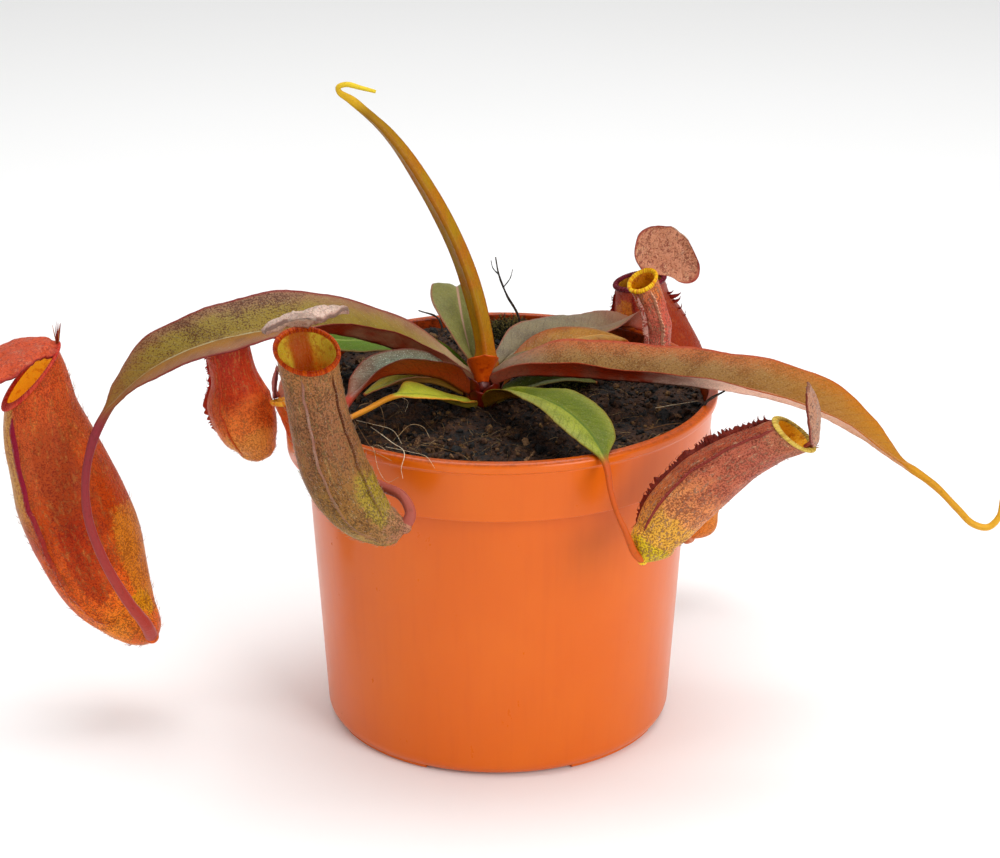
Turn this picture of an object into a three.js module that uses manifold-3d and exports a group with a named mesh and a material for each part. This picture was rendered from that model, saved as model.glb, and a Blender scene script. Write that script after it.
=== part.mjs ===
// A tropical pitcher plant in a round plastic nursery pot, in millimetres, +Z up.
// Origin: centre of the pot's underside. The front of the pot faces -Y, +X is to its right.
import * as THREE from 'three';
import { mergeVertices } from 'three/addons/utils/BufferGeometryUtils.js';
import Module from 'manifold-3d';

// Pot
const POT_HEIGHT = 104;
const LIP_RADIUS = 65;
const COLLAR_RADIUS = 62.8;
const COLLAR_HEIGHT = 18.3;
const BODY_TOP_RADIUS = 57;
const BODY_BASE_RADIUS = 51.8;
const POT_WALL = 1.5;
const FOOT_HEIGHT = 0.9;
const HUB_RADIUS = 8;
const DRAIN_COUNT = 4;
const DRAIN_RADIUS = 4;
const DRAIN_CIRCLE = 33;
const POT_SEGMENTS = 32;

// Soil and stem
const SOIL_TOP = 98;
const STEM_AXIS = [-5, -2];
const STEM_RADIUS = 3.6;
const STEM_TOP = 108;

// Plant tissue
const GAP = 0.3;
const CLEAN = 0.03;
const BLADE = 0.8;
const PETIOLE = 2;
const CUP_WALL = 0.8;
const LIP_ROLL = 1.3;
const WING_ANGLE = 0.58;
const WING_THICKNESS = 0.7;

const wasm = await Module();
wasm.setup();

// ---------------------------------------------------------------- helpers

const vec = (p) => new THREE.Vector3(p[0], p[1], p[2]);

const smooth = THREE.MathUtils.smoothstep;

/** Value of one column of a table of control points at a fractional row. */
function column(rows, index, at) {
  const low = Math.min(Math.floor(at), rows.length - 2);
  return THREE.MathUtils.lerp(rows[low][index], rows[low + 1][index], at - low);
}

/** Solid from points and triangles; turned inside out where its volume comes out negative. */
function solidFrom(points, triangles) {
  const vertProperties = new Float32Array(points.flatMap((p) => [p.x, p.y, p.z]));
  let volume = 0;
  const cross = new THREE.Vector3();
  for (let i = 0; i < triangles.length; i += 3) {
    cross.crossVectors(points[triangles[i + 1]], points[triangles[i + 2]]);
    volume += points[triangles[i]].dot(cross);
  }
  const order = volume < 0 ? triangles.slice().reverse() : triangles;
  const triVerts = new Uint32Array(order);
  return new wasm.Manifold(new wasm.Mesh({ numProp: 3, vertProperties, triVerts }));
}

/**
 * Closed body through a row of rings with equal point counts, capped at both ends.
 * Quads from ring point `mirror` on are split the other way, so both faces of a blade match.
 */
function ringBody(rings, mirror = Infinity) {
  const count = rings[0].length;
  const points = rings.flat();
  const triangles = [];
  for (let i = 0; i + 1 < rings.length; i += 1) {
    for (let k = 0; k < count; k += 1) {
      const a = i * count + k;
      const b = i * count + ((k + 1) % count);
      const c = b + count;
      const d = a + count;
      if (k < mirror) {
        triangles.push(a, b, c, a, c, d);
      } else {
        triangles.push(a, b, d, b, c, d);
      }
    }
  }
  const ends = [rings[0], rings[rings.length - 1]].map((ring) => {
    const centre = ring.reduce((sum, p) => sum.add(p), new THREE.Vector3());
    return points.push(centre.divideScalar(count)) - 1;
  });
  const last = (rings.length - 1) * count;
  for (let k = 0; k < count; k += 1) {
    const next = (k + 1) % count;
    triangles.push(ends[0], next, k, ends[1], last + k, last + next);
  }
  return solidFrom(points, triangles);
}

/** Solid from a three.js geometry. */
function solidOf(geometry) {
  const bare = geometry.clone();
  bare.deleteAttribute('normal');
  bare.deleteAttribute('uv');
  const merged = mergeVertices(bare, 1e-4);
  const place = merged.attributes.position;
  const points = Array.from({ length: place.count }, (_, i) => (
    new THREE.Vector3().fromBufferAttribute(place, i)));
  return solidFrom(points, Array.from(merged.index.array));
}

/** The largest of the separate bodies that a solid falls into. */
function largest(solid) {
  const bodies = solid.decompose();
  return bodies.reduce((best, body) => (body.volume() > best.volume() ? body : best));
}

/** Named mesh of a solid with its own finish. */
function meshOf(name, solid, color, roughness) {
  const source = solid.getMesh();
  const geometry = new THREE.BufferGeometry();
  const positions = Float32Array.from(source.vertProperties);
  geometry.setAttribute('position', new THREE.BufferAttribute(positions, 3));
  geometry.setIndex(new THREE.BufferAttribute(Uint32Array.from(source.triVerts), 1));
  geometry.computeVertexNormals();
  const mesh = new THREE.Mesh(geometry, new THREE.MeshStandardMaterial({ color, roughness, metalness: 0 }));
  mesh.name = name;
  return mesh;
}

// ---------------------------------------------------------------- leaves

const HALF_RING = [-1, -0.5, 0, 0.5, 1];
const RING = HALF_RING.length;

/** Ring of a folded blade: upper face from left edge to right edge, then the lower face back. */
function bladeRing(centre, left, normal, shape) {
  const upper = [];
  const lower = [];
  HALF_RING.forEach((s) => {
    const degrees = s < 0 ? shape.riseLeft : shape.riseRight;
    const rise = s === 0 ? 0 : THREE.MathUtils.degToRad(degrees);
    const side = s < 0 ? 1 : -1;
    const width = s < 0 ? shape.left : shape.right;
    const cosine = Math.cos(rise);
    const sine = Math.sin(rise);
    const out = left.clone().multiplyScalar(side * cosine).addScaledVector(normal, sine);
    const face = normal.clone().multiplyScalar(cosine).addScaledVector(left, -side * sine);
    const reach = Math.abs(s);
    const arch = reach * (1 - reach) * 0.3 * width;
    const point = centre.clone().addScaledVector(out, reach * width).addScaledVector(face, arch);
    const rib = s === 0 ? shape.rib : 0;
    upper.push(point.clone().addScaledVector(face, shape.thick / 2));
    lower.unshift(point.clone().addScaledVector(face, -shape.thick / 2 - rib));
  });
  return upper.concat(lower);
}

/** Ring of a round tendril whose points match those of a blade ring. */
function roundRing(centre, left, normal, radius) {
  return Array.from({ length: 2 * RING }, (_, k) => {
    const angle = Math.PI * (1 - (2 * k + 1) / (2 * RING));
    return centre.clone()
      .addScaledVector(left, -Math.cos(angle) * radius)
      .addScaledVector(normal, Math.sin(angle) * radius);
  });
}

/**
 * Leaf that runs out into its tendril, as one body.
 * blade rows: x, y, z of the keel, left and right half widths, left and right rise in degrees.
 * tendril rows: x, y, z, radius.
 */
function leafSolid(spec, grow = 0) {
  const { blade, tendril = [], reference = [0, 0, 1], thick = BLADE, petiole = PETIOLE } = spec;
  const rows = blade.length;
  const curve = new THREE.CatmullRomCurve3(blade.concat(tendril).map(vec), false, 'centripetal');
  const spans = rows + tendril.length - 1;
  const bladeSteps = spec.steps;
  const tendrilSteps = Math.round(1.6 * tendril.length);
  const rings = [];
  let left = new THREE.Vector3();
  for (let i = 0; i <= bladeSteps + tendrilSteps; i += 1) {
    const onBlade = i <= bladeSteps;
    const along = onBlade
      ? (i / bladeSteps) * (rows - 1)
      : rows - 1 + ((i - bladeSteps) / tendrilSteps) * tendril.length;
    const centre = curve.getPoint(along / spans);
    const tangent = curve.getTangent(along / spans);
    if (onBlade) {
      left.crossVectors(vec(reference), tangent).normalize();
    } else {
      left = left.clone().addScaledVector(tangent, -left.dot(tangent)).normalize();
    }
    const normal = new THREE.Vector3().crossVectors(tangent, left).normalize();
    if (!onBlade) {
      const radii = [[blade[rows - 1][3]]].concat(tendril.map((row) => [row[3]]));
      rings.push(roundRing(centre, left, normal, column(radii, 0, along - rows + 1) + grow));
      continue;
    }
    const fraction = i / bladeSteps;
    const base = Math.max(0, 1 - fraction / 0.25);
    const shape = {
      left: column(blade, 3, along) + grow,
      right: column(blade, 4, along) + grow,
      riseLeft: column(blade, 5, along),
      riseRight: column(blade, 6, along),
      thick: thick + petiole * base + 2 * grow,
      rib: 0.4 * (1 - base),
    };
    let ring = bladeRing(centre, left, normal, shape);
    const roundness = tendril.length ? smooth(along, rows - 2, rows - 1) : 0;
    if (roundness > 0) {
      const round = roundRing(centre, left, normal, blade[rows - 1][3] + grow);
      ring = ring.map((p, k) => p.clone().lerp(round[k], roundness));
    }
    rings.push(ring);
  }
  return ringBody(rings, RING - 1);
}

// ---------------------------------------------------------------- pitchers

const CUP_ANGLES = [0, WING_ANGLE, 1.1, 1.6, 2.1, 2.62, Math.PI];
const CUP_RING = CUP_ANGLES.concat(CUP_ANGLES.slice(1, -1).reverse().map((angle) => -angle));

/** Frame of a pitcher: axis curve from tendril end to mouth, with the front where the wings run. */
function pitcherFrame(spec) {
  const path = spec.axis;
  const curve = new THREE.CatmullRomCurve3(path.map(vec), false, 'centripetal');
  const front = vec(spec.front);
  const at = (t) => {
    const tangent = curve.getTangent(t);
    const ahead = front.clone().addScaledVector(tangent, -front.dot(tangent)).normalize();
    const side = new THREE.Vector3().crossVectors(tangent, ahead);
    const radius = column(path, 3, t * (path.length - 1));
    return { centre: curve.getPoint(t), tangent, ahead, side, radius };
  };
  const point = (t, angle, inset, lift) => {
    const f = at(t);
    const radius = f.radius + inset;
    const slant = -spec.tilt * smooth(t, 0.5, 1) * radius * Math.cos(angle);
    return f.centre.clone()
      .addScaledVector(f.ahead, radius * Math.cos(angle))
      .addScaledVector(f.side, radius * Math.sin(angle) * spec.breadth)
      .addScaledVector(f.tangent, slant + lift);
  };
  return { at, point };
}

/** Cup with its rolled mouth rim, hollow down to its foot. */
function cupSolid(spec, grow = 0) {
  const { point } = pitcherFrame(spec);
  const roll = LIP_ROLL * spec.rim;
  const ring = (t, inset, lift) => CUP_RING.map((angle) => point(t, angle, inset, lift));
  const rings = [];
  const steps = spec.steps;
  for (let i = 0; i <= steps; i += 1) {
    rings.push(ring(0.985 * (i / steps), grow, 0));
  }
  rings.push(ring(1, roll + grow, -0.7 * roll - grow));
  rings.push(ring(1, 1.3 * roll + grow, 0.3 * roll));
  rings.push(ring(1, 0.5 * roll, roll + grow));
  rings.push(ring(1, -0.9 * roll - grow, 0.5 * roll));
  [0.9, 0.68, 0.46, spec.hollowFrom].forEach((t) => {
    rings.push(ring(t, -CUP_WALL - grow, 0));
  });
  return ringBody(rings);
}

/** One of the two fringed wings down the front of a cup, rooted in its wall. */
function wingSolid(spec, side) {
  const { at, point } = pitcherFrame(spec);
  const steps = 2 * spec.teeth;
  const rings = [];
  for (let i = 0; i <= steps; i += 1) {
    const t = THREE.MathUtils.lerp(spec.wingFrom ?? 0.14, 0.9, i / steps);
    const f = at(t);
    const swell = 0.45 + 0.55 * Math.sin(Math.PI * (i / steps));
    const tall = spec.wing * swell * (i % 2 ? 1 : 0.45);
    const angle = side * WING_ANGLE;
    const across = f.side.clone().multiplyScalar(Math.cos(angle))
      .addScaledVector(f.ahead, -Math.sin(angle));
    const root = point(t, angle, -0.55, 0);
    const edge = point(t, angle, tall, 0).addScaledVector(across, side * 0.25 * tall);
    const half = WING_THICKNESS / 2;
    rings.push([
      root.clone().addScaledVector(across, -half),
      root.clone().addScaledVector(across, half),
      edge.clone().addScaledVector(across, half),
      edge.clone().addScaledVector(across, -half),
    ]);
  }
  return ringBody(rings);
}

// ---------------------------------------------------------------- plant data
// Keels, tendrils and pitcher axes are hand-set control points in millimetres.

const LEAVES = [
  {
    name: 'leaf_young_upright', color: '#b9872f', reference: [0, 1, 0], petiole: 1.4, steps: 12,
    blade: [
      [-4.4, -2.6, 105.6, 6, 6, 25, 25],
      [-3.8, -2, 109.6, 5.4, 5.4, 38, 38],
      [-3.9, -0.8, 115, 4, 4, 46, 46],
      [-7, 1.5, 130, 4.2, 4.8, 50, 50],
      [-12.6, 3.5, 146, 3.9, 4.6, 50, 50],
      [-21.4, 4.6, 163, 3.6, 4.2, 52, 52],
      [-31.5, 5, 178, 2.7, 2.7, 52, 52],
      [-41.5, 4, 188.5, 1.3, 1.3, 45, 45],
    ],
    tendril: [[-45.4, 3.5, 191.4, 0.9], [-45.6, 3, 193, 0.8], [-43.2, 2.5, 193.9, 0.8],
      [-39.4, 2, 193.1, 0.7], [-34.9, 2, 191.9, 0.5]],
  },
  {
    name: 'leaf_small_back', color: '#7d8b5c', petiole: 1, steps: 8,
    blade: [
      [-6.5, 1.5, 107, 3, 2.5, 55, 55],
      [-8.4, 5, 112, 5, 4, 40, 40],
      [-10.4, 11, 118.5, 7.6, 5.5, 25, 25],
      [-11.6, 18, 123, 8.8, 6, 12, 15],
      [-12.4, 26, 124.8, 7.4, 5, 8, 12],
      [-13, 33, 122, 3.8, 2.5, 8, 12],
      [-13.4, 37, 118.5, 0.7, 0.7, 10, 10],
    ],
    tendril: [[-13.8, 42, 112.5, 0.7], [-14.2, 46, 105.5, 0.6]],
  },
  {
    name: 'leaf_far_left', color: '#7c7146', steps: 15,
    blade: [
      [-6.5, -2.5, 104.4, 3.2, 3.2, 60, 60],
      [-12.7, -3.5, 107.8, 4.2, 4.6, 58, 55],
      [-20, -4.5, 112, 6, 8, 55, 44],
      [-32.1, -7, 118, 8, 12, 50, 38],
      [-44.4, -10, 122.6, 9.5, 13.2, 36, 38],
      [-57.2, -13, 125, 10.5, 13.6, 20, 38],
      [-71.4, -16, 124.9, 11, 13.4, 5, 35],
      [-85.7, -18.5, 122, 10.6, 12.8, -2, 33],
      [-98.7, -20, 116, 8, 11.4, -2, 32],
      [-109, -21, 107.6, 3.2, 6, 2, 30],
      [-115.4, -22.5, 99, 1.4, 1.6, 0, 20],
    ],
    tendril: [[-119.4, -25, 86, 1.2], [-119.2, -28, 73, 1.3], [-115, -30, 60, 1.4], [-109, -29, 47, 1.6],
      [-104.4, -24.5, 37, 1.8], [-103.6, -18, 30, 2]],
  },
  {
    name: 'leaf_long_right', color: '#8d7040', steps: 15,
    blade: [
      [-1.6, -2.6, 105.2, 3.2, 3.2, 60, 60],
      [4.5, -4, 108, 5.5, 4, 50, 58],
      [14, -6.5, 109.2, 10, 5.5, 46, 55],
      [30, -9, 109, 12.2, 6.5, 46, 50],
      [46, -11, 108.5, 12.2, 7, 43, 42],
      [62, -13, 107.5, 12, 7.5, 40, 35],
      [78, -15, 105.5, 12.4, 8, 42, 28],
      [93, -17, 101, 11.2, 8, 43, 24],
      [105.5, -18.5, 94.5, 8.2, 6.5, 38, 22],
      [115, -19.5, 88, 4, 3.5, 30, 20],
      [121.5, -20, 84, 1.2, 1.2, 10, 10],
    ],
    tendril: [[128, -20, 79, 1.1], [134.5, -20, 72.2, 1], [139.5, -20, 67.2, 1], [144, -20, 66.2, 1],
      [147, -20, 69.5, 0.9], [147.6, -20, 75, 0.7]],
  },
  {
    name: 'leaf_back_right', color: '#81776a', steps: 10,
    blade: [
      [-2.2, 0.8, 105, 2.8, 2.8, 50, 55],
      [2.8, 7.5, 108.4, 4.6, 4.6, 32, 20],
      [9.5, 16, 110.4, 7.8, 7.5, 28, 0],
      [20.3, 27, 110, 9.4, 8.8, 20, -8],
      [31.3, 38.5, 107.6, 9, 8.5, 16, 18],
      [41.6, 48.5, 104.8, 7, 8.5, 20, 55],
      [49.2, 55, 100, 3.6, 5, 20, 55],
      [54.2, 59, 94, 1.2, 1.2, 0, 10],
    ],
    tendril: [[58.6, 61, 80, 1.1], [60.6, 60.5, 64, 1.2], [61, 60, 48, 1.3], [60.8, 62, 34, 1.4],
      [61.2, 67, 25, 1.6], [62.4, 71.6, 23.4, 1.8]],
  },
  {
    name: 'leaf_left_back', color: '#718f3c', steps: 9,
    blade: [
      [-7.6, 0.8, 102.8, 2.6, 2.6, 50, 50],
      [-13.5, 5, 107, 4, 4, 40, 40],
      [-24, 9.5, 110.6, 7.5, 7, 15, 30],
      [-37, 14, 111.6, 8.5, 8, 0, 25],
      [-50, 18.5, 110.6, 6.5, 6, 0, 20],
      [-59, 21, 110, 2.6, 2.6, 0, 10],
      [-63.5, 22, 110, 1, 1, 0, 0],
    ],
    tendril: [[-70.5, 23, 111, 1], [-76.5, 24, 109, 1], [-80, 24.6, 102, 1], [-80.4, 24, 92, 1.1],
      [-78.4, 21.5, 82, 1.2], [-75, 16, 77, 1.4], [-73.4, 11.5, 77, 1.5]],
  },
  {
    name: 'leaf_brown_back', color: '#a36d38', steps: 9,
    blade: [
      [-1.6, -0.2, 102.4, 2.4, 2.4, 55, 55],
      [4.5, 4, 105.6, 4, 4, 45, 25],
      [12.5, 8.5, 109.4, 6.5, 6.5, 30, 10],
      [21, 13.5, 111.8, 7.2, 7, 22, 5],
      [29, 18.5, 112, 6, 6, 12, 0],
      [35.5, 22.5, 110.2, 3, 3, 5, -10],
      [38.5, 24, 108, 1, 1, 0, 0],
    ],
    tendril: [[41.5, 25, 103.5, 1], [44, 25.5, 100.4, 1.2]],
  },
  {
    name: 'leaf_left_mid', color: '#6f5b4b', steps: 10,
    blade: [
      [-7.5, -4.2, 101.8, 2.8, 2.8, 60, 60],
      [-11.5, -8, 105.5, 4, 4.5, 55, 50],
      [-17, -12.5, 110.2, 7, 7.5, 50, 42],
      [-25, -18, 113.6, 8, 8.4, 50, 42],
      [-33, -23, 114.4, 7.5, 8, 48, 40],
      [-39, -27.5, 112.6, 4.8, 4.8, 40, 30],
      [-42.8, -32.5, 110.4, 1.3, 1.3, 10, 10],
    ],
    tendril: [[-43.6, -40, 110.4, 1.2], [-43, -50, 108.6, 1.2], [-41, -57, 103.6, 1.2],
      [-37, -60.5, 98.4, 1.3], [-31.5, -64, 97, 1.4], [-26.2, -69, 96.2, 1.5],
      [-24, -72.5, 92.6, 1.6], [-25.4, -74, 89.6, 1.7]],
  },
  {
    name: 'leaf_olive_left', color: '#80863f', steps: 7,
    blade: [
      [-8, -3, 100.8, 2.2, 2.2, 50, 50],
      [-13.5, -6, 104.4, 3.2, 3.2, 42, 40],
      [-21, -9.6, 108, 4.8, 5, 35, 25],
      [-29, -13, 109, 4.4, 4.5, 30, 20],
      [-36, -16, 108, 1.8, 1.8, 10, 10],
      [-39, -17.2, 106.8, 0.6, 0.6, 0, 0],
    ],
  },
  {
    name: 'leaf_olive_right', color: '#60663a', steps: 7,
    blade: [
      [-1.2, -2.5, 99.4, 2.2, 2.2, 50, 50],
      [4.5, 0, 100.8, 4, 4, 30, 30],
      [12.5, 3.5, 102.6, 5.5, 5.5, 12, 15],
      [20.5, 6.5, 102.8, 4.5, 4.5, 5, 8],
      [27, 8.5, 101.6, 2, 2, 0, 0],
      [29.5, 9.2, 100.8, 0.6, 0.6, 0, 0],
    ],
  },
  {
    name: 'leaf_front_right', color: '#72923f', steps: 11,
    blade: [
      [-3.6, -5.8, 99.2, 2.4, 2.4, 50, 50],
      [-0.5, -10.5, 102.6, 4, 4, 35, 45],
      [4.5, -17, 106.2, 6, 6, 16, 35],
      [10.5, -26, 109, 8.5, 8, 8, 22],
      [16.8, -35.5, 110.2, 9.2, 8.6, 6, 14],
      [22.5, -45, 109.2, 8.8, 8, 6, 10],
      [27, -54, 106.8, 6.4, 5.4, 8, 10],
      [30, -62, 102.4, 1, 1, 0, 0],
    ],
    tendril: [[31, -68, 97.6, 0.8], [32.6, -72, 93, 0.8], [35.2, -74, 87.5, 0.9], [37.6, -73.5, 81.5, 1.1],
      [39.8, -71.5, 78.4, 1.3]],
  },
  {
    name: 'leaf_yellow_green', color: '#a3b03e', steps: 7,
    blade: [
      [-6.4, -5.6, 98.8, 1.9, 1.9, 50, 50],
      [-11.6, -10.8, 101.4, 3.6, 4, 20, 30],
      [-18, -17, 105.8, 5, 5.6, 8, 26],
      [-25, -22, 108.6, 4, 4.8, 5, 26],
      [-30.7, -26, 109.2, 0.9, 0.9, 0, 0],
    ],
    tendril: [[-37.6, -32, 107.6, 0.8], [-44, -37.5, 106.4, 0.8], [-50.6, -43, 105.8, 0.8],
      [-54, -46.8, 103.6, 0.8], [-54.2, -47.4, 101.2, 0.9]],
  },
];

const PITCHERS = [
  {
    name: 'far_left', leaf: 'leaf_far_left', color: '#c6512b', lidColor: '#bf543e',
    axis: [[-110.4, -8, 31.4, 8.6], [-118.2, -5, 42.5, 13.8], [-124, -4, 58, 16.2], [-129.8, -3, 74, 15.2],
      [-134.4, -2.4, 90, 11.6], [-137.6, -2, 106.8, 9.2]],
    front: [-1, -0.35, 0], tilt: 0.78, breadth: 0.92, rim: 1,
    hollowFrom: 0.24, steps: 10, wing: 2.4, teeth: 9,
    lid: [[-129.4, -1.4, 114.4, 2.8, 2.8], [-133.6, -1.4, 116, 7.6, 7.6], [-140, -2, 114.8, 12.5, 12.5],
      [-147.5, -3, 112, 13, 13], [-154, -4, 109, 10, 10], [-158.4, -5, 106.8, 4, 4]],
    lidUp: [-0.3, -0.1, 1],
  },
  {
    name: 'front_left', leaf: 'leaf_left_mid', color: '#8c5c47', lidColor: '#a2857b',
    axis: [[-32, -73, 89.6, 6], [-39, -71.5, 95, 8.6], [-44.4, -70, 104.4, 9.4], [-47.9, -68, 115, 8.8],
      [-50.3, -65.5, 125.6, 8.2], [-52, -63, 136.6, 8.6]],
    front: [0.33, -0.94, 0], tilt: 0.62, breadth: 0.98, rim: 0.9,
    hollowFrom: 0.24, steps: 9, wing: 1.1, teeth: 7,
    lid: [[-52.6, -53.6, 141.6, 2.5, 2.5], [-52.4, -57.6, 144.2, 6.5, 6.5], [-52.2, -63.6, 147, 11.4, 11.4],
      [-52, -70.5, 149.6, 12, 12], [-52, -76.5, 151.6, 9.5, 9.5], [-52, -80.6, 152.6, 4, 4]],
    lidUp: [-0.2, 0.4, 1],
  },
  {
    name: 'left_back', leaf: 'leaf_left_back', color: '#c0412b', lidColor: '#b2503e',
    axis: [[-73, 7.6, 82.4, 6.4], [-75, 6, 88.6, 9.2], [-77.4, 6, 96, 9.6], [-78.6, 6, 103.4, 7],
      [-79.8, 6, 110.6, 6.6], [-80.4, 6.5, 116, 7]],
    front: [-0.9, -0.45, 0], tilt: 0.5, breadth: 0.95, rim: 0.85,
    hollowFrom: 0.26, steps: 8, wing: 1.8, teeth: 7,
    lid: [[-73.2, 9.6, 119, 2.2, 2.2], [-76, 8.6, 120.4, 5.5, 5.5], [-80.5, 8, 121.4, 7.6, 7.6],
      [-85.5, 7.4, 121, 7.2, 7.2], [-89, 7, 119.8, 3, 3]],
    lidUp: [-0.2, 0, 1],
  },
  {
    name: 'small_left', leaf: 'leaf_yellow_green', color: '#c64c24', lidColor: '#a8524a',
    axis: [[-55, -45.4, 101.6, 2.4], [-56.4, -42.8, 105, 3], [-58.2, -40.4, 109, 3.2],
      [-60, -39, 112.8, 3.3]],
    front: [0.8, -0.5, 0.3], tilt: 0.35, breadth: 0.95, rim: 0.55,
    hollowFrom: 0.34, steps: 5, wing: 0.9, teeth: 4,
    wingFrom: 0.3,
    lid: [[-62.8, -37.6, 113.6, 1.2, 1.2], [-63.4, -37.4, 116, 2.8, 2.8], [-63, -37.4, 119.4, 3.4, 3.4],
      [-62.2, -37.4, 122.4, 1.6, 1.6]],
    lidUp: [-1, 0, 0],
  },
  {
    name: 'front_right', leaf: 'leaf_front_right', color: '#8f463a', lidColor: '#b1837b',
    axis: [[43.6, -69, 84.4, 6.4], [49.6, -67.6, 92.4, 8.4], [57.2, -67, 100, 8.3], [65.6, -68, 107, 7],
      [73.6, -69, 111.8, 5.7], [80.6, -70, 115, 5]],
    front: [-0.55, -0.35, 0.8], tilt: 0.35, breadth: 0.95, rim: 0.85,
    hollowFrom: 0.26, steps: 9, wing: 3.2, teeth: 9,
    lid: [[84.2, -68.6, 110.4, 1.6, 1.6], [86.8, -69.6, 113.4, 3.6, 3.6], [86.8, -71, 118, 7.4, 7.4],
      [85.6, -72, 123.8, 7.8, 7.8], [83.8, -73, 129.8, 3, 3]],
    lidUp: [1, 0, 0.15],
  },
  {
    name: 'back_right', leaf: 'leaf_brown_back', color: '#a53b2d', lidColor: '#a1614c',
    axis: [[46.4, 26.6, 101.6, 3], [48.2, 28.4, 106, 4], [48.2, 29, 112, 4.3], [46.8, 29, 118.6, 4.1],
      [44.6, 29, 124.6, 4.4]],
    front: [-0.25, -0.97, 0], tilt: 0.55, breadth: 0.98, rim: 0.8,
    hollowFrom: 0.3, steps: 7, wing: 1.6, teeth: 6,
    lid: [[45, 34.4, 127, 1.8, 1.8], [46.4, 35.2, 129.6, 9, 6.6], [49.4, 35.2, 133.2, 13.6, 9.4],
      [52.4, 34.8, 136.8, 11.4, 8], [54.8, 34.2, 139.6, 3.6, 3.4]],
    lidUp: [0, 1, 0.1],
  },
  {
    name: 'far_back_right', leaf: 'leaf_back_right', color: '#8f3927', lidColor: '#8b4331',
    axis: [[64.6, 76, 29.5, 7.4], [63, 77, 41.5, 12], [59, 77, 59, 14.4], [53.4, 76, 78.4, 14.8],
      [48.8, 75.6, 93, 13.2], [46, 75, 103.6, 9.8], [45, 75, 110.6, 8]],
    front: [-0.75, -0.65, 0], tilt: 0.2, breadth: 0.92, rim: 0.9,
    hollowFrom: 0.24, steps: 8, wing: 2.4, teeth: 6,
    lid: [[51.4, 80.6, 111.2, 2, 2], [51.8, 81.6, 113.6, 4.6, 4.6], [51.8, 82, 117.6, 6.6, 6.6],
      [51.6, 82, 122, 6, 6], [51.4, 81.8, 125.6, 2.6, 2.6]],
    lidUp: [0.4, 1, 0],
  },
];

// ---------------------------------------------------------------- pot

/** Pot with lip, collar band, rounded base edge, centre hub, four feet and drain holes. */
function potSolid() {
  const floor = FOOT_HEIGHT + POT_WALL;
  const step = POT_HEIGHT - COLLAR_HEIGHT;
  const profile = [
    [0, 0], [HUB_RADIUS, 0], [HUB_RADIUS + 0.5, FOOT_HEIGHT],
    [BODY_BASE_RADIUS - 1.6, FOOT_HEIGHT], [BODY_BASE_RADIUS - 0.3, FOOT_HEIGHT + 0.6],
    [BODY_BASE_RADIUS, 3],
    [BODY_TOP_RADIUS, step], [COLLAR_RADIUS - 0.5, step], [COLLAR_RADIUS, step + 0.7],
    [COLLAR_RADIUS + 0.8, POT_HEIGHT - 3], [LIP_RADIUS, POT_HEIGHT - 2.2], [LIP_RADIUS, POT_HEIGHT - 0.8],
    [LIP_RADIUS - 0.8, POT_HEIGHT], [LIP_RADIUS - 2.8, POT_HEIGHT],
    [COLLAR_RADIUS - POT_WALL, step + 3], [BODY_TOP_RADIUS - POT_WALL, step - 1.4],
    [BODY_BASE_RADIUS - POT_WALL - 0.4, floor + 1.6],
    [BODY_BASE_RADIUS - POT_WALL - 2.4, floor], [0, floor],
  ].map(([r, z]) => new THREE.Vector2(r, z));
  const turned = new THREE.LatheGeometry(profile, POT_SEGMENTS).rotateX(Math.PI / 2);
  let pot = solidOf(turned);
  for (let i = 0; i < 4; i += 1) {
    const shape = new THREE.Shape();
    const from = i * (Math.PI / 2) + 0.45;
    shape.absarc(0, 0, BODY_BASE_RADIUS - 1.6, from, from + 0.68, false);
    shape.absarc(0, 0, BODY_BASE_RADIUS - 6, from + 0.68, from, true);
    const depth = FOOT_HEIGHT + 0.4;
    const foot = new THREE.ExtrudeGeometry(shape, { depth, bevelEnabled: false, curveSegments: 1 });
    pot = pot.add(solidOf(foot));
  }
  for (let i = 0; i < DRAIN_COUNT; i += 1) {
    const angle = ((i + 0.5) / DRAIN_COUNT) * 2 * Math.PI;
    const drill = new THREE.CylinderGeometry(DRAIN_RADIUS, DRAIN_RADIUS, 8, 6).rotateX(Math.PI / 2);
    drill.translate(DRAIN_CIRCLE * Math.cos(angle), DRAIN_CIRCLE * Math.sin(angle), FOOT_HEIGHT);
    pot = pot.subtract(solidOf(drill));
  }
  return pot;
}

// ---------------------------------------------------------------- soil, stem and small growth

/** Height of the uneven soil surface at a place in plan. */
function soilHeight(x, y) {
  const wide = 0.9 * Math.sin(0.21 * x + 1.3) * Math.cos(0.17 * y);
  const lumps = wide + 0.6 * Math.sin(0.39 * x + 0.31 * y);
  const edge = smooth(Math.hypot(x, y), 44, 60);
  return SOIL_TOP + lumps * (1 - 0.6 * edge) + 0.035 * y;
}

/** Block of potting soil that fills the pot up to just under its lip. */
function soilSolid() {
  const step = POT_HEIGHT - COLLAR_HEIGHT;
  const ring = (radius, height) => Array.from({ length: POT_SEGMENTS }, (_, k) => {
    const angle = (k / POT_SEGMENTS) * 2 * Math.PI;
    const x = radius * Math.cos(angle);
    const y = radius * Math.sin(angle);
    return new THREE.Vector3(x, y, height ?? soilHeight(x, y));
  });
  const low = FOOT_HEIGHT + POT_WALL + GAP;
  const inner = -POT_WALL - GAP;
  return ringBody([
    ring(BODY_BASE_RADIUS + inner - 2.8, low), ring(BODY_BASE_RADIUS + inner - 0.6, low + 2),
    ring(BODY_TOP_RADIUS + inner, step - 1.2), ring(COLLAR_RADIUS + inner, step + 3.4),
    ring(COLLAR_RADIUS + inner), ring(52), ring(42), ring(32), ring(22), ring(11),
  ]);
}

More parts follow.
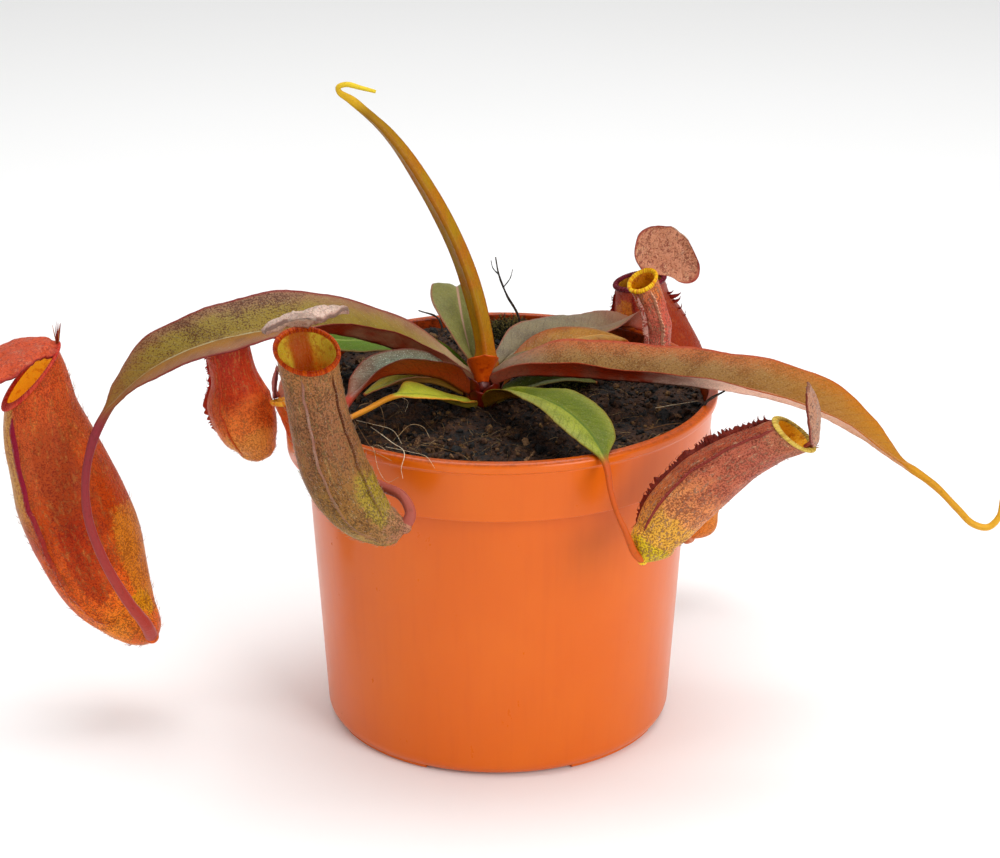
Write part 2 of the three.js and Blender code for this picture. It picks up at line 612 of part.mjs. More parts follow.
/** Short woody crown that every leaf base clasps. */
function stemSolid(grow = 0) {
  const [x, y] = STEM_AXIS;
  const rows = [[84, 2.6], [88, 3.4], [97, 4], [103, 3.6], [STEM_TOP - 2, 3], [STEM_TOP, 1.6]];
  return ringBody(rows.map(([z, radius]) => Array.from({ length: 14 }, (_, k) => {
    const angle = (k / 14) * 2 * Math.PI;
    const reach = radius + grow;
    return new THREE.Vector3(x + reach * Math.cos(angle), y + reach * Math.sin(angle), z);
  })));
}

/** Round twig or root along a few points, tapering to its end. */
function twigSolid(points, thickness, grow = 0) {
  const curve = new THREE.CatmullRomCurve3(points.map(vec));
  const steps = 3 * (points.length - 1);
  const rings = [];
  for (let i = 0; i <= steps; i += 1) {
    const tangent = curve.getTangent(i / steps);
    const side = new THREE.Vector3(0.3, 1, 0.1).cross(tangent).normalize();
    const other = new THREE.Vector3().crossVectors(tangent, side);
    const radius = (thickness / 2) * (1 - 0.4 * (i / steps)) + grow;
    rings.push(Array.from({ length: 6 }, (_, k) => {
      const angle = (k / 6) * 2 * Math.PI;
      return curve.getPoint(i / steps)
        .addScaledVector(side, radius * Math.cos(angle))
        .addScaledVector(other, radius * Math.sin(angle));
    }));
  }
  return ringBody(rings);
}

/** Cushion of moss: a low dome with short shoots rooted in it. */
function mossSolid(spec, grow = 0) {
  const [x, y] = spec.at;
  const base = soilHeight(x, y);
  const dome = new THREE.SphereGeometry(1, 10, 6).rotateX(Math.PI / 2);
  dome.scale(spec.reach[0] + grow, spec.reach[1] + grow, spec.rise + grow);
  dome.translate(x, y, base);
  let moss = solidOf(dome);
  for (let i = 0; i < spec.shoots && grow === 0; i += 1) {
    const turn = i * 2.4;
    const out = 0.85 * Math.sqrt((i + 0.5) / spec.shoots);
    const dx = out * spec.reach[0] * Math.cos(turn);
    const dy = out * spec.reach[1] * Math.sin(turn);
    const top = spec.rise * Math.sqrt(Math.max(0, 1 - out * out));
    const shoot = new THREE.ConeGeometry(0.8, 3.4, 4).rotateX(Math.PI / 2);
    shoot.rotateY(0.35 * Math.cos(turn)).rotateX(-0.35 * Math.sin(turn));
    shoot.translate(x + dx, y + dy, base + top + 0.9);
    moss = moss.add(solidOf(shoot));
  }
  return moss;
}

const TWIGS = [
  {
    name: 'twig_back', thickness: 1,
    points: [[7, 36, 94], [6.4, 37.5, 111], [2.6, 38, 118.5], [0.2, 38, 125], [-0.8, 38, 130.6]],
  },
  {
    name: 'twig_right', thickness: 1.4,
    points: [[55, -19.4, 94], [60, -18.6, 104.6], [65.6, -18, 108.2]],
  },
  {
    name: 'twig_left', thickness: 1,
    points: [[-17, 52, 95], [-18.6, 56, 104.4], [-25, 58.6, 106.4]],
  },
];

const MOSS = [
  { name: 'moss_right', at: [21, 13], reach: [8, 5.5], rise: 1.8, shoots: 10 },
  { name: 'moss_back', at: [3.5, 53], reach: [9, 5.5], rise: 4, shoots: 10 },
];

// ---------------------------------------------------------------- assembly

const plant = new THREE.Group();
plant.name = 'potted_pitcher_plant';

const placed = [];

/** Keeps a body clear of the ones placed before it, then adds it to the group. */
function place(name, color, roughness, build) {
  const own = build(0);
  const box = own.boundingBox();
  let solid = own;
  placed.forEach((other) => {
    const meets = [0, 1, 2].every((k) => box.min[k] < other.box.max[k] && box.max[k] > other.box.min[k]);
    if (meets) {
      solid = solid.subtract(other.grown);
    }
  });
  const grown = build(GAP);
  placed.push({ grown, box: grown.boundingBox() });
  plant.add(meshOf(name, largest(solid).simplify(CLEAN), color, roughness));
}

/** End of a leaf's tendril, one gap further on, and the point where the pitcher's foot follows it. */
function tendrilEnd(spec) {
  const points = spec.blade.concat(spec.tendril).map(vec);
  const curve = new THREE.CatmullRomCurve3(points, false, 'centripetal');
  const tangent = curve.getTangent(1);
  const end = curve.getPoint(1).addScaledVector(tangent, GAP);
  const radius = spec.tendril[spec.tendril.length - 1][3];
  return [...end.toArray(), radius];
}

place('stem', '#b4602f', 0.6, stemSolid);
LEAVES.forEach((spec) => place(spec.name, spec.color, 0.5, (grow) => leafSolid(spec, grow)));
PITCHERS.forEach((spec) => {
  const leaf = LEAVES.find((entry) => entry.name === spec.leaf);
  const cup = { ...spec, axis: [tendrilEnd(leaf), ...spec.axis] };
  place(`pitcher_${spec.name}`, spec.color, 0.45, (grow) => (grow
    ? cupSolid(cup, grow)
    : cupSolid(cup).add(wingSolid(cup, 1)).add(wingSolid(cup, -1))));
  const lid = {
    blade: spec.lid.map((row) => [...row, -8, -8]), reference: spec.lidUp, petiole: 1.2,
    steps: spec.lid.length + 1,
  };
  place(`lid_${spec.name}`, spec.lidColor, 0.5, (grow) => leafSolid(lid, grow));
});
TWIGS.forEach((spec) => {
  place(spec.name, '#2b221d', 0.9, (grow) => twigSolid(spec.points, spec.thickness, grow));
});
MOSS.forEach((spec) => {
  place(spec.name, '#5f7a2d', 0.95, (grow) => mossSolid(spec, grow));
});
place('soil', '#2f221b', 0.95, () => soilSolid());
place('pot', '#d8692c', 0.28, () => potSolid());

export default plant;
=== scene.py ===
"""Potted pitcher plant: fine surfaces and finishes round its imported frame.

The tables hold millimetres in the frame's own axes: +Z up, -Y the front, origin at the centre of
the pot's underside. Meshes are made in metres.
"""

import logging
import math
from dataclasses import dataclass
from enum import Enum
from typing import Any, Sequence, Tuple

import bpy
import numpy as np
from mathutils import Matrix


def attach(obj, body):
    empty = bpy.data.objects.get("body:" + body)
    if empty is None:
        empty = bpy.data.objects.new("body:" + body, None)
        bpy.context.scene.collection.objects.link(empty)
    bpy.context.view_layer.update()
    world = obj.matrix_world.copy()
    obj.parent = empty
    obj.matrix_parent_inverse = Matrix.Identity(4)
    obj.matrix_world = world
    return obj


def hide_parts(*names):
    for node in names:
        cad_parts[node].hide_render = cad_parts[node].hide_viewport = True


Array = np.ndarray
Rows = Tuple[Tuple[float, ...], ...]
Colour = Tuple[float, float, float, float]
Triple = Tuple[float, float, float]
Material = bpy.types.Material
Thing = bpy.types.Object
Socket = bpy.types.NodeSocket

MM = 0.001
SEED = 20
GLOSS = 0.018
GOLDEN_ANGLE = 2.39996
LATTICE_PRIMES = np.array([73856093, 19349663, 83492791])
SEED_PRIME = 5915587
MIXING_PRIME = 1274126177
NO_MARK = np.zeros(3)
LOG = logging.getLogger("pitcher_plant")

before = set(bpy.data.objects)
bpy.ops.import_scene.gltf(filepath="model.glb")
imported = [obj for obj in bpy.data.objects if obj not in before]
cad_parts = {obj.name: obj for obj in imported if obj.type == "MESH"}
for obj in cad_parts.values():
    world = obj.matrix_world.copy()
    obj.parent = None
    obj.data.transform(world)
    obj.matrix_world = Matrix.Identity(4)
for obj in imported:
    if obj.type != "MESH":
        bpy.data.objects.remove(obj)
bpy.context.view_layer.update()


# ---------- array maths

def stacked(*parts: Any) -> Array:
    """Coordinates broadcast to one shape and laid side by side."""
    return np.stack(np.broadcast_arrays(*parts), -1)


def turns(count: int, start: float = 0.0) -> Array:
    """That many angles evenly round a full circle."""
    return np.linspace(start, start + 2 * np.pi, count, endpoint=False)


def scattered(draw: np.random.Generator, count: int, reach: float) -> Tuple[Array, Array]:
    """Angles and distances of places drawn evenly over a disc of that radius."""
    turn = draw.uniform(0, 2 * np.pi, count)
    return turn, reach * np.sqrt(draw.uniform(0, 1, count))


def unit(vectors: Array) -> Array:
    """Vectors divided by their own lengths."""
    return vectors / np.maximum(np.linalg.norm(vectors, axis=-1, keepdims=True), 1e-9)


def ease(low: float, high: float, value: Array) -> Array:
    """Smooth step: 0 below low, 1 above high, and t * t * (3 - 2 * t) between."""
    t = np.clip((np.asarray(value, float) - low) / (high - low), 0.0, 1.0)
    return t * t * (3.0 - 2.0 * t)


def noise(points: Array, seed: int = 0) -> Array:
    """Smooth lattice noise in about -1..1: hashed corner values of the unit cell, eased between.

    Args:
        points: Places, in cells, of shape (..., 3).
        seed: Picks another field of the same kind.

    Returns:
        One value for each place.
    """
    cell = np.floor(points).astype(np.int64)
    part = points - cell
    blend = part * part * (3.0 - 2.0 * part)
    total = np.zeros(points.shape[:-1])
    for corner in range(8):
        step = np.array([corner & 1, (corner >> 1) & 1, (corner >> 2) & 1])
        key = ((cell + step) * LATTICE_PRIMES).sum(-1) + seed * SEED_PRIME
        key = (key ^ (key >> 13)) * MIXING_PRIME & 0x7FFFFFFF
        key = key ^ (key >> 15)
        value = (key & 0xFFFF) / 32767.5 - 1.0
        weight = np.prod(np.where(step == 1, blend, 1.0 - blend), axis=-1)
        total += value * weight
    return total


def layered(points: Array, octaves: int, seed: int = 0) -> Array:
    """Sum of noise fields, each at twice the pitch and half the height of the one before."""
    return sum(noise(points * 2.0 ** k, seed + k) * 0.5 ** k for k in range(octaves))


def column(values: Array, at: Array) -> Array:
    """Table column at fractional rows, by a cubic through the rows that never overshoots much.

    Args:
        values: One value for each row.
        at: Fractional row numbers.

    Returns:
        The column's value at each of them: a Catmull-Rom cubic, kept within its two rows' reach.
    """
    values = np.asarray(values, float)
    at = np.clip(at, 0, len(values) - 1)
    i = np.minimum(at.astype(int), len(values) - 2)
    w = at - i
    ends = np.concatenate([[2 * values[0] - values[1]], values, [2 * values[-1] - values[-2]]])
    a, b, c, d = ends[i], ends[i + 1], ends[i + 2], ends[i + 3]
    cubic = b + 0.5 * w * (c - a + w * (2 * a - 5 * b + 4 * c - d + w * (3 * (b - c) + d - a)))
    low, high = np.minimum(b, c), np.maximum(b, c)
    slack = 0.12 * (high - low)
    return np.clip(cubic, low - slack, high + slack)


@dataclass(frozen=True)
class Path:
    """Smooth line through control points, of the centripetal Catmull-Rom kind."""

    rows: Array

    @classmethod
    def through(cls, rows: Sequence[Sequence[float]]) -> "Path":
        """Line through the first three numbers of each row."""
        return cls(np.array([row[:3] for row in rows], float))

    def point(self, t: Array) -> Array:
        """Places at t from 0 to 1: a Hermite cubic in each span, knots at the root of chords."""
        rows = self.rows
        ends = np.vstack([2 * rows[0] - rows[1], rows, 2 * rows[-1] - rows[-2]])
        at = np.clip(t, 0.0, 1.0) * (len(rows) - 1)
        i = np.minimum(at.astype(int), len(rows) - 2)
        w = (at - i)[..., None]
        p = [ends[i + k] for k in range(4)]
        gaps = [np.maximum(np.linalg.norm(p[k + 1] - p[k], axis=-1, keepdims=True), 1e-8) ** 0.5
                for k in range(3)]
        a, b, c = gaps
        start = b * ((p[1] - p[0]) / a - (p[2] - p[0]) / (a + b) + (p[2] - p[1]) / b)
        end = b * ((p[2] - p[1]) / b - (p[3] - p[1]) / (b + c) + (p[3] - p[2]) / c)
        rise = p[2] - p[1]
        return p[1] + w * (start + w * (3 * rise - 2 * start - end + w * (start + end - 2 * rise)))

    def tangent(self, t: Array) -> Array:
        """Unit directions of the line at t."""
        step = 1e-4
        return unit(self.point(np.minimum(t + step, 1.0)) - self.point(np.maximum(t - step, 0.0)))


def carried(first: Array, tangents: Array) -> Array:
    """Cross direction carried along a line without twist, by taking off its part along each tangent."""
    sides = np.empty_like(tangents)
    side = first
    for row, tangent in enumerate(tangents):
        side = side - tangent * (side @ tangent)
        side = side / np.linalg.norm(side)
        sides[row] = side
    return sides


# ---------- pieces

def tone(number: float) -> Array:
    """Span of a batch that has one strand number all over."""
    return np.array([0.0, 0.0, number])


def placed(name: str, data: Any, place: Triple = (0.0, 0.0, 0.0),
           turn: Triple = (0.0, 0.0, 0.0)) -> Thing:
    """New object of that data in the scene, at that place and turn."""
    made = bpy.data.objects.new(name, data)
    made.location = place
    made.rotation_euler = turn
    bpy.context.scene.collection.objects.link(made)
    return made


class Surface:
    """Vertices, faces and marks gathered for one piece, in millimetres.

    Two vector marks go with each vertex for the materials: "mark" holds the place along and across
    and the zone, and "span" holds the same place in millimetres and a number for each strand.
    """

    def __init__(self) -> None:
        """Starts empty."""
        self.points: list = []
        self.faces: list = []
        self.marks: list = []
        self.spans: list = []
        self.count = 0

    def add(self, points: Array, faces: Sequence[Array], mark: Array, span: Array) -> None:
        """Adds one closed batch and turns its faces outward by the sign of its volume.

        Args:
            points: Vertices, of shape (n, 3).
            faces: Arrays of triangles and of quads that index the points.
            mark: Along, across and zone, broadcast to the points.
            span: Millimetres along and across, and the strand's number, broadcast too.
        """
        volume = 0.0
        for block in faces:
            for k in range(1, block.shape[1] - 1):
                a, b, c = (points[block[:, j]] for j in (0, k, k + 1))
                volume += float((a * np.cross(b, c)).sum())
        for block in faces:
            turned = block[:, ::-1] if volume < 0 else block
            self.faces.append(turned + self.count)
        self.points.append(points)
        self.marks.append(np.broadcast_to(mark, points.shape))
        self.spans.append(np.broadcast_to(span, points.shape))
        self.count += len(points)

    def sweep(self, rings: Array, mark: Array = NO_MARK, span: Array = NO_MARK,
              poles: bool = True) -> None:
        """Adds a row of closed rings, with a point at each end, or joined round if poles is False.

        Args:
            rings: Places of shape (rings, points in a ring, 3).
            mark: Marks of the same shape.
            span: Spans of the same shape.
            poles: Whether the ends close in a point.
        """
        m, n, _ = rings.shape
        i, k = np.meshgrid(np.arange(m - 1 if poles else m), np.arange(n), indexing="ij")
        after = (i + 1) % m
        quads = np.stack([i * n + k, i * n + (k + 1) % n, after * n + (k + 1) % n, after * n + k], -1)
        faces = [quads.reshape(-1, 4)]
        flat = [a.reshape(-1, 3) for a in (rings, np.broadcast_to(mark, rings.shape),
                                           np.broadcast_to(span, rings.shape))]
        if poles:
            ends = [np.vstack([a[0].mean(0), a[-1].mean(0)])
                    for a in (rings, np.broadcast_to(mark, rings.shape),
                              np.broadcast_to(span, rings.shape))]
            flat = [np.vstack(pair) for pair in zip(flat, ends)]
            turn = np.arange(n)
            near = (turn + 1) % n
            first = np.stack([np.full(n, m * n), near, turn], -1)
            last = np.stack([np.full(n, m * n + 1), (m - 1) * n + turn, (m - 1) * n + near], -1)
            faces += [first, last]
        self.add(flat[0], faces, flat[1], flat[2])

    def strands(self, lines: Array, radii: Array, sides: int, mark: Array = NO_MARK,
                seed: int = 0) -> None:
        """Adds many thin tapered rods at once, each a closed tube round its own line.

        Args:
            lines: Places of shape (strands, points, 3).
            radii: Radii of shape (strands, points) or what broadcasts to it.
            sides: Corners of each rod's section.
            mark: Mark of each strand, of shape (strands, 3) or (3,).
            seed: Seed of the strands' own numbers.
        """
        s, m, _ = lines.shape
        along = unit(np.gradient(lines, axis=1))
        helper = np.where(np.abs(along[:, :1, 2:3]) < 0.8, [[0.0, 0.0, 1.0]], [[1.0, 0.0, 0.0]])
        side = unit(np.cross(along, helper))
        other = np.cross(along, side)
        angle = np.arange(sides) / sides * 2 * np.pi
        ring = (side[:, :, None] * np.cos(angle)[:, None] + other[:, :, None] * np.sin(angle)[:, None])
        tubes = lines[:, :, None] + ring * np.broadcast_to(radii, (s, m))[:, :, None, None]
        points = tubes.reshape(-1, 3)
        strand, i, k = np.meshgrid(np.arange(s), np.arange(m - 1), np.arange(sides), indexing="ij")
        base = strand * m * sides
        near = (k + 1) % sides
        quads = np.stack([base + i * sides + k, base + i * sides + near,
                          base + (i + 1) * sides + near, base + (i + 1) * sides + k], -1)
        faces = [quads.reshape(-1, 4)]
        start = np.arange(s)[:, None] * m * sides
        turn = np.arange(1, sides - 1)
        for low in (True, False):
            shift = 0 if low else (m - 1) * sides
            caps = np.stack([start + shift + 0 * turn, start + shift + turn + 1,
                             start + shift + turn], -1)
            faces.append((caps if low else caps[..., ::-1]).reshape(-1, 3))
        number = np.random.default_rng(seed).random(s)
        length = np.linspace(0.0, 1.0, m)
        marks = np.broadcast_to(np.broadcast_to(mark, (s, 3))[:, None, None], tubes.shape)
        spans = np.zeros(tubes.shape)
        spans[..., 0] = length[None, :, None]
        spans[..., 2] = number[:, None, None]
        self.add(points, faces, marks.reshape(-1, 3), spans.reshape(-1, 3))

    def lumps(self, centres: Array, sizes: Array, seed: int, rough: float = 0.35) -> None:
        """Adds many crumbs at once: a 20-faced ball each, with its corners moved at random.

        Args:
            centres: Places of shape (lumps, 3).
            sizes: Half sizes of shape (lumps, 3).
            seed: Seed of the random corners and turns.
            rough: How far a corner may move, as a share of the radius.
        """
        g = (1 + 5 ** 0.5) / 2
        ball = unit(np.array([[-1, g, 0], [1, g, 0], [-1, -g, 0], [1, -g, 0], [0, -1, g], [0, 1, g],
                              [0, -1, -g], [0, 1, -g], [g, 0, -1], [g, 0, 1], [-g, 0, -1], [-g, 0, 1]]))
        tris = np.array([[0, 11, 5], [0, 5, 1], [0, 1, 7], [0, 7, 10], [0, 10, 11], [1, 5, 9],
                         [5, 11, 4], [11, 10, 2], [10, 7, 6], [7, 1, 8], [3, 9, 4], [3, 4, 2],
                         [3, 2, 6], [3, 6, 8], [3, 8, 9], [4, 9, 5], [2, 4, 11], [6, 2, 10],
                         [8, 6, 7], [9, 8, 1]])
        draw = np.random.default_rng(seed)
        s = len(centres)
        corners = len(ball)
        reach = 1.0 + rough * draw.uniform(-1, 1, (s, corners, 1))
        turned, _ = np.linalg.qr(draw.normal(size=(s, 3, 3)))
        turned = turned * np.sign(np.linalg.det(turned))[:, None, None]
        shape = ball[None] * reach * sizes[:, None]
        points = centres[:, None] + shape @ turned
        faces = tris[None] + (np.arange(s) * corners)[:, None, None]
        number = np.repeat(draw.random(s), corners)
        span = stacked(0.0, 0.0, number)
        self.add(points.reshape(-1, 3), [faces.reshape(-1, 3)], NO_MARK, span)

    def piece(self, name: str, nodes: Sequence[str], finish: Any,
              smooth: bool = True) -> Thing:
        """Makes the object, gives it its finish and ties it to the frame.

        Args:
            name: Name of the object.
            nodes: CAD nodes that it stands for.
            finish: Its finish, which makes a material of the same name.
            smooth: Whether its faces shade smoothly.

        Returns:
            The new object, at the origin, with its place in its mesh.
        """
        return settle(self.thing(name, finish.material(name), smooth), nodes)

    def thing(self, name: str, material: Material, smooth: bool = True) -> Thing:
        """Makes the object alone, with its marks and its finish."""
        points = np.concatenate(self.points) * MM
        sizes = np.concatenate([np.full(len(block), block.shape[1]) for block in self.faces])
        corners = np.concatenate([block.reshape(-1) for block in self.faces])
        mesh = bpy.data.meshes.new(name)
        mesh.vertices.add(len(points))
        mesh.vertices.foreach_set("co", points.reshape(-1))
        mesh.loops.add(len(corners))
        mesh.loops.foreach_set("vertex_index", corners.astype(np.int32))
        mesh.polygons.add(len(sizes))
        mesh.polygons.foreach_set("loop_start", (np.cumsum(sizes) - sizes).astype(np.int32))
        mesh.polygons.foreach_set("use_smooth", np.full(len(sizes), smooth))
        for label, values in (("mark", self.marks), ("span", self.spans)):
            layer = mesh.attributes.new(label, "FLOAT_VECTOR", "POINT")
            layer.data.foreach_set("vector", np.concatenate(values).astype(np.float32).reshape(-1))
        mesh.update(calc_edges=True)
        mesh.validate()
        mesh.materials.append(material)
        return placed(name, mesh)


def settle(made: Thing, nodes: Sequence[str]) -> Thing:
    """Ties a finished piece to the frame's one body and the nodes that it stands for."""
    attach(made, "root")
    if nodes:
        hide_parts(*nodes)
    LOG.info("%s: %d faces", made.name, len(made.data.polygons))
    return made


# ---------- shader expressions

def rgb(code: str) -> Colour:
    """Linear colour of a six-digit display code, less the little that the skin's own gloss adds."""
    parts = [int(code[i:i + 2], 16) / 255 for i in (0, 2, 4)]
    linear = [p / 12.92 if p <= 0.04045 else ((p + 0.055) / 1.055) ** 2.4 for p in parts]
    red, green, blue = (max(value - GLOSS, 0.0) for value in linear)
    return (red, green, blue, 1.0)


class Field:
    """A number that varies over a surface: a socket whose operators add Math nodes."""

    def __init__(self, shader: "Shader", socket: Socket) -> None:
        """Wraps one output socket of a shader's tree."""
        self.shader = shader
        self.socket = socket

    def _math(self, operation: str, *values: Any) -> "Field":
        """Math node of that operation on these values."""
        return self.shader.number("ShaderNodeMath", {"operation": operation}, dict(enumerate(values)))

    def __add__(self, other: Any) -> "Field":
        """Sum."""
        return self._math("ADD", self, other)

    __radd__ = __add__

    def __sub__(self, other: Any) -> "Field":
        """Difference."""
        return self._math("SUBTRACT", self, other)

    def __rsub__(self, other: Any) -> "Field":
        """Difference, the other way round."""
        return self._math("SUBTRACT", other, self)

    def __mul__(self, other: Any) -> "Field":
        """Product."""
        return self._math("MULTIPLY", self, other)

    def size(self) -> "Field":
        """Absolute value."""
        return self._math("ABSOLUTE", self)

    def sine(self) -> "Field":
        """Sine of an angle in radians."""
        return self._math("SINE", self)

    def most(self, other: Any) -> "Field":
        """The larger of two values."""
        return self._math("MAXIMUM", self, other)

    def step(self, low: float, high: float) -> "Field":
        """Smooth step from 0 at low to 1 at high, or falling where low is above high."""
        if low > high:
            return 1.0 - self.step(high, low)
        return self.shader.number("ShaderNodeMapRange", {"interpolation_type": "SMOOTHSTEP"},
                                  {"Value": self, "From Min": low, "From Max": high})


class Shader:
    """One material's node tree, with a method for each step that the finishes share."""

    def __init__(self, name: str) -> None:
        """Makes the material with an empty tree."""
        self.material = bpy.data.materials.new(name)
        self.material.use_nodes = True
        self.tree = self.material.node_tree
        self.tree.nodes.clear()

    def node(self, kind: str, settings: dict, inputs: dict) -> bpy.types.Node:
        """Adds one node.

        Args:
            kind: Type of the node.
            settings: Its properties, set first. "stops" fills a colour ramp.
            inputs: Values, colour codes, fields or sockets by the input's name or number.

        Returns:
            The node.
        """
        made = self.tree.nodes.new(kind)
        for key, value in settings.items():
            if key == "stops":
                ramp = made.color_ramp
                while len(ramp.elements) < len(value):
                    ramp.elements.new(1.0)
                for element, (place, colour) in zip(ramp.elements, value):
                    element.position = place
                    element.color = colour
            else:
                setattr(made, key, value)
        for key, value in inputs.items():
            socket = made.inputs[key]
            source = value.socket if isinstance(value, Field) else value
            source = rgb(source) if isinstance(source, str) else source
            if isinstance(source, Socket):
                self.tree.links.new(source, socket)
            else:
                socket.default_value = source
        return made

    def number(self, kind: str, settings: dict, inputs: dict, output: Any = 0) -> Field:
        """Adds one node and returns one of its outputs as a field."""
        return Field(self, self.node(kind, settings, inputs).outputs[output])

    def parts(self, label: str) -> Tuple[Field, Field, Field]:
        """The three numbers of one of the piece's vector marks."""
        mark = self.node("ShaderNodeAttribute", {"attribute_name": label}, {})
        split = self.node("ShaderNodeSeparateXYZ", {}, {0: mark.outputs["Vector"]})
        return tuple(Field(self, split.outputs[k]) for k in range(3))

    def place(self) -> Socket:
        """Place on the piece in millimetres."""
        coordinates = self.node("ShaderNodeTexCoord", {}, {})
        scaled = self.node("ShaderNodeVectorMath", {"operation": "SCALE"},
                           {0: coordinates.outputs["Object"], "Scale": 1000.0})
        return scaled.outputs[0]

    def vector(self, x: Any, y: Any, z: Any) -> Socket:
        """Vector of three numbers."""
        return self.node("ShaderNodeCombineXYZ", {}, {0: x, 1: y, 2: z}).outputs[0]

    def grain(self, place: Any, pitch: float, detail: float = 2.0, rough: float = 0.5) -> Field:
        """Noise from 0 to 1 with cells of that pitch in millimetres."""
        return self.number("ShaderNodeTexNoise", {},
                           {"Vector": place, "Scale": 1.0 / pitch, "Detail": detail,
                            "Roughness": rough})

    def cells(self, place: Any, pitch: float, feature: str = "F1") -> Field:
        """Distance to the nearest cell point, or to the cells' borders, at that pitch."""
        return self.number("ShaderNodeTexVoronoi", {"feature": feature},
                           {"Vector": place, "Scale": 1.0 / pitch}, "Distance")

    def mix(self, low: Any, high: Any, share: Any, blend: str = "MIX") -> Socket:
        """Colour between two colours."""
        made = self.node("ShaderNodeMix", {"data_type": "RGBA", "blend_type": blend},
                         {"Factor": share, 6: low, 7: high})
        return made.outputs[2]

    def ramp(self, value: Field, stops: Sequence[Tuple[float, Colour]]) -> Socket:
        """Colour from a ramp of stops."""
        return self.node("ShaderNodeValToRGB", {"stops": stops}, {0: value}).outputs[0]

    def relief(self, height: Field, depth: float, normal: Any = None) -> Socket:
        """Bumped normal of a height from 0 to 1, that many millimetres deep."""
        inputs = {"Height": height, "Distance": depth * MM, "Strength": 1.0}
        if normal is not None:
            inputs["Normal"] = normal
        return self.node("ShaderNodeBump", {}, inputs).outputs[0]

    def close(self, colour: Any, rough: Any, normal: Any = None, **constants: Any) -> Material:
        """Ends the tree in one principled surface.

        Args:
            colour: Base colour.
            rough: Roughness.
            normal: Bumped normal, if any.
            **constants: Inputs that are the same all over, with _ for a space.

        Returns:
            The finished material.
        """
        inputs = {"Base Color": colour, "Roughness": rough}
        if normal is not None:
            inputs["Normal"] = normal
        for key, value in constants.items():
            inputs[key.replace("_", " ").title().replace("Ior", "IOR")] = value
        surface = self.node("ShaderNodeBsdfPrincipled", {}, inputs)
        self.node("ShaderNodeOutputMaterial", {}, {"Surface": surface.outputs[0]})
        return self.material


# ---------- leaves

BASE_SHARE = 0.25
KEEL_ROUND = 0.02
ARCH = 0.3
GROOVE = 0.22
RIDGE = 0.4
LEAF_SPECK = "b9ae8c"
LEAF_SPARK = "d8d6c8"


class Zone(Enum):
    """Part of a piece that its mark names, so that one finish can dress it all."""

    UPPER = 0.0
    LOWER = 1.0
    HAIR = 2.0
    SHELL = 3.0
    RIM = 4.0
    INSIDE = 5.0
    WING = 6.0


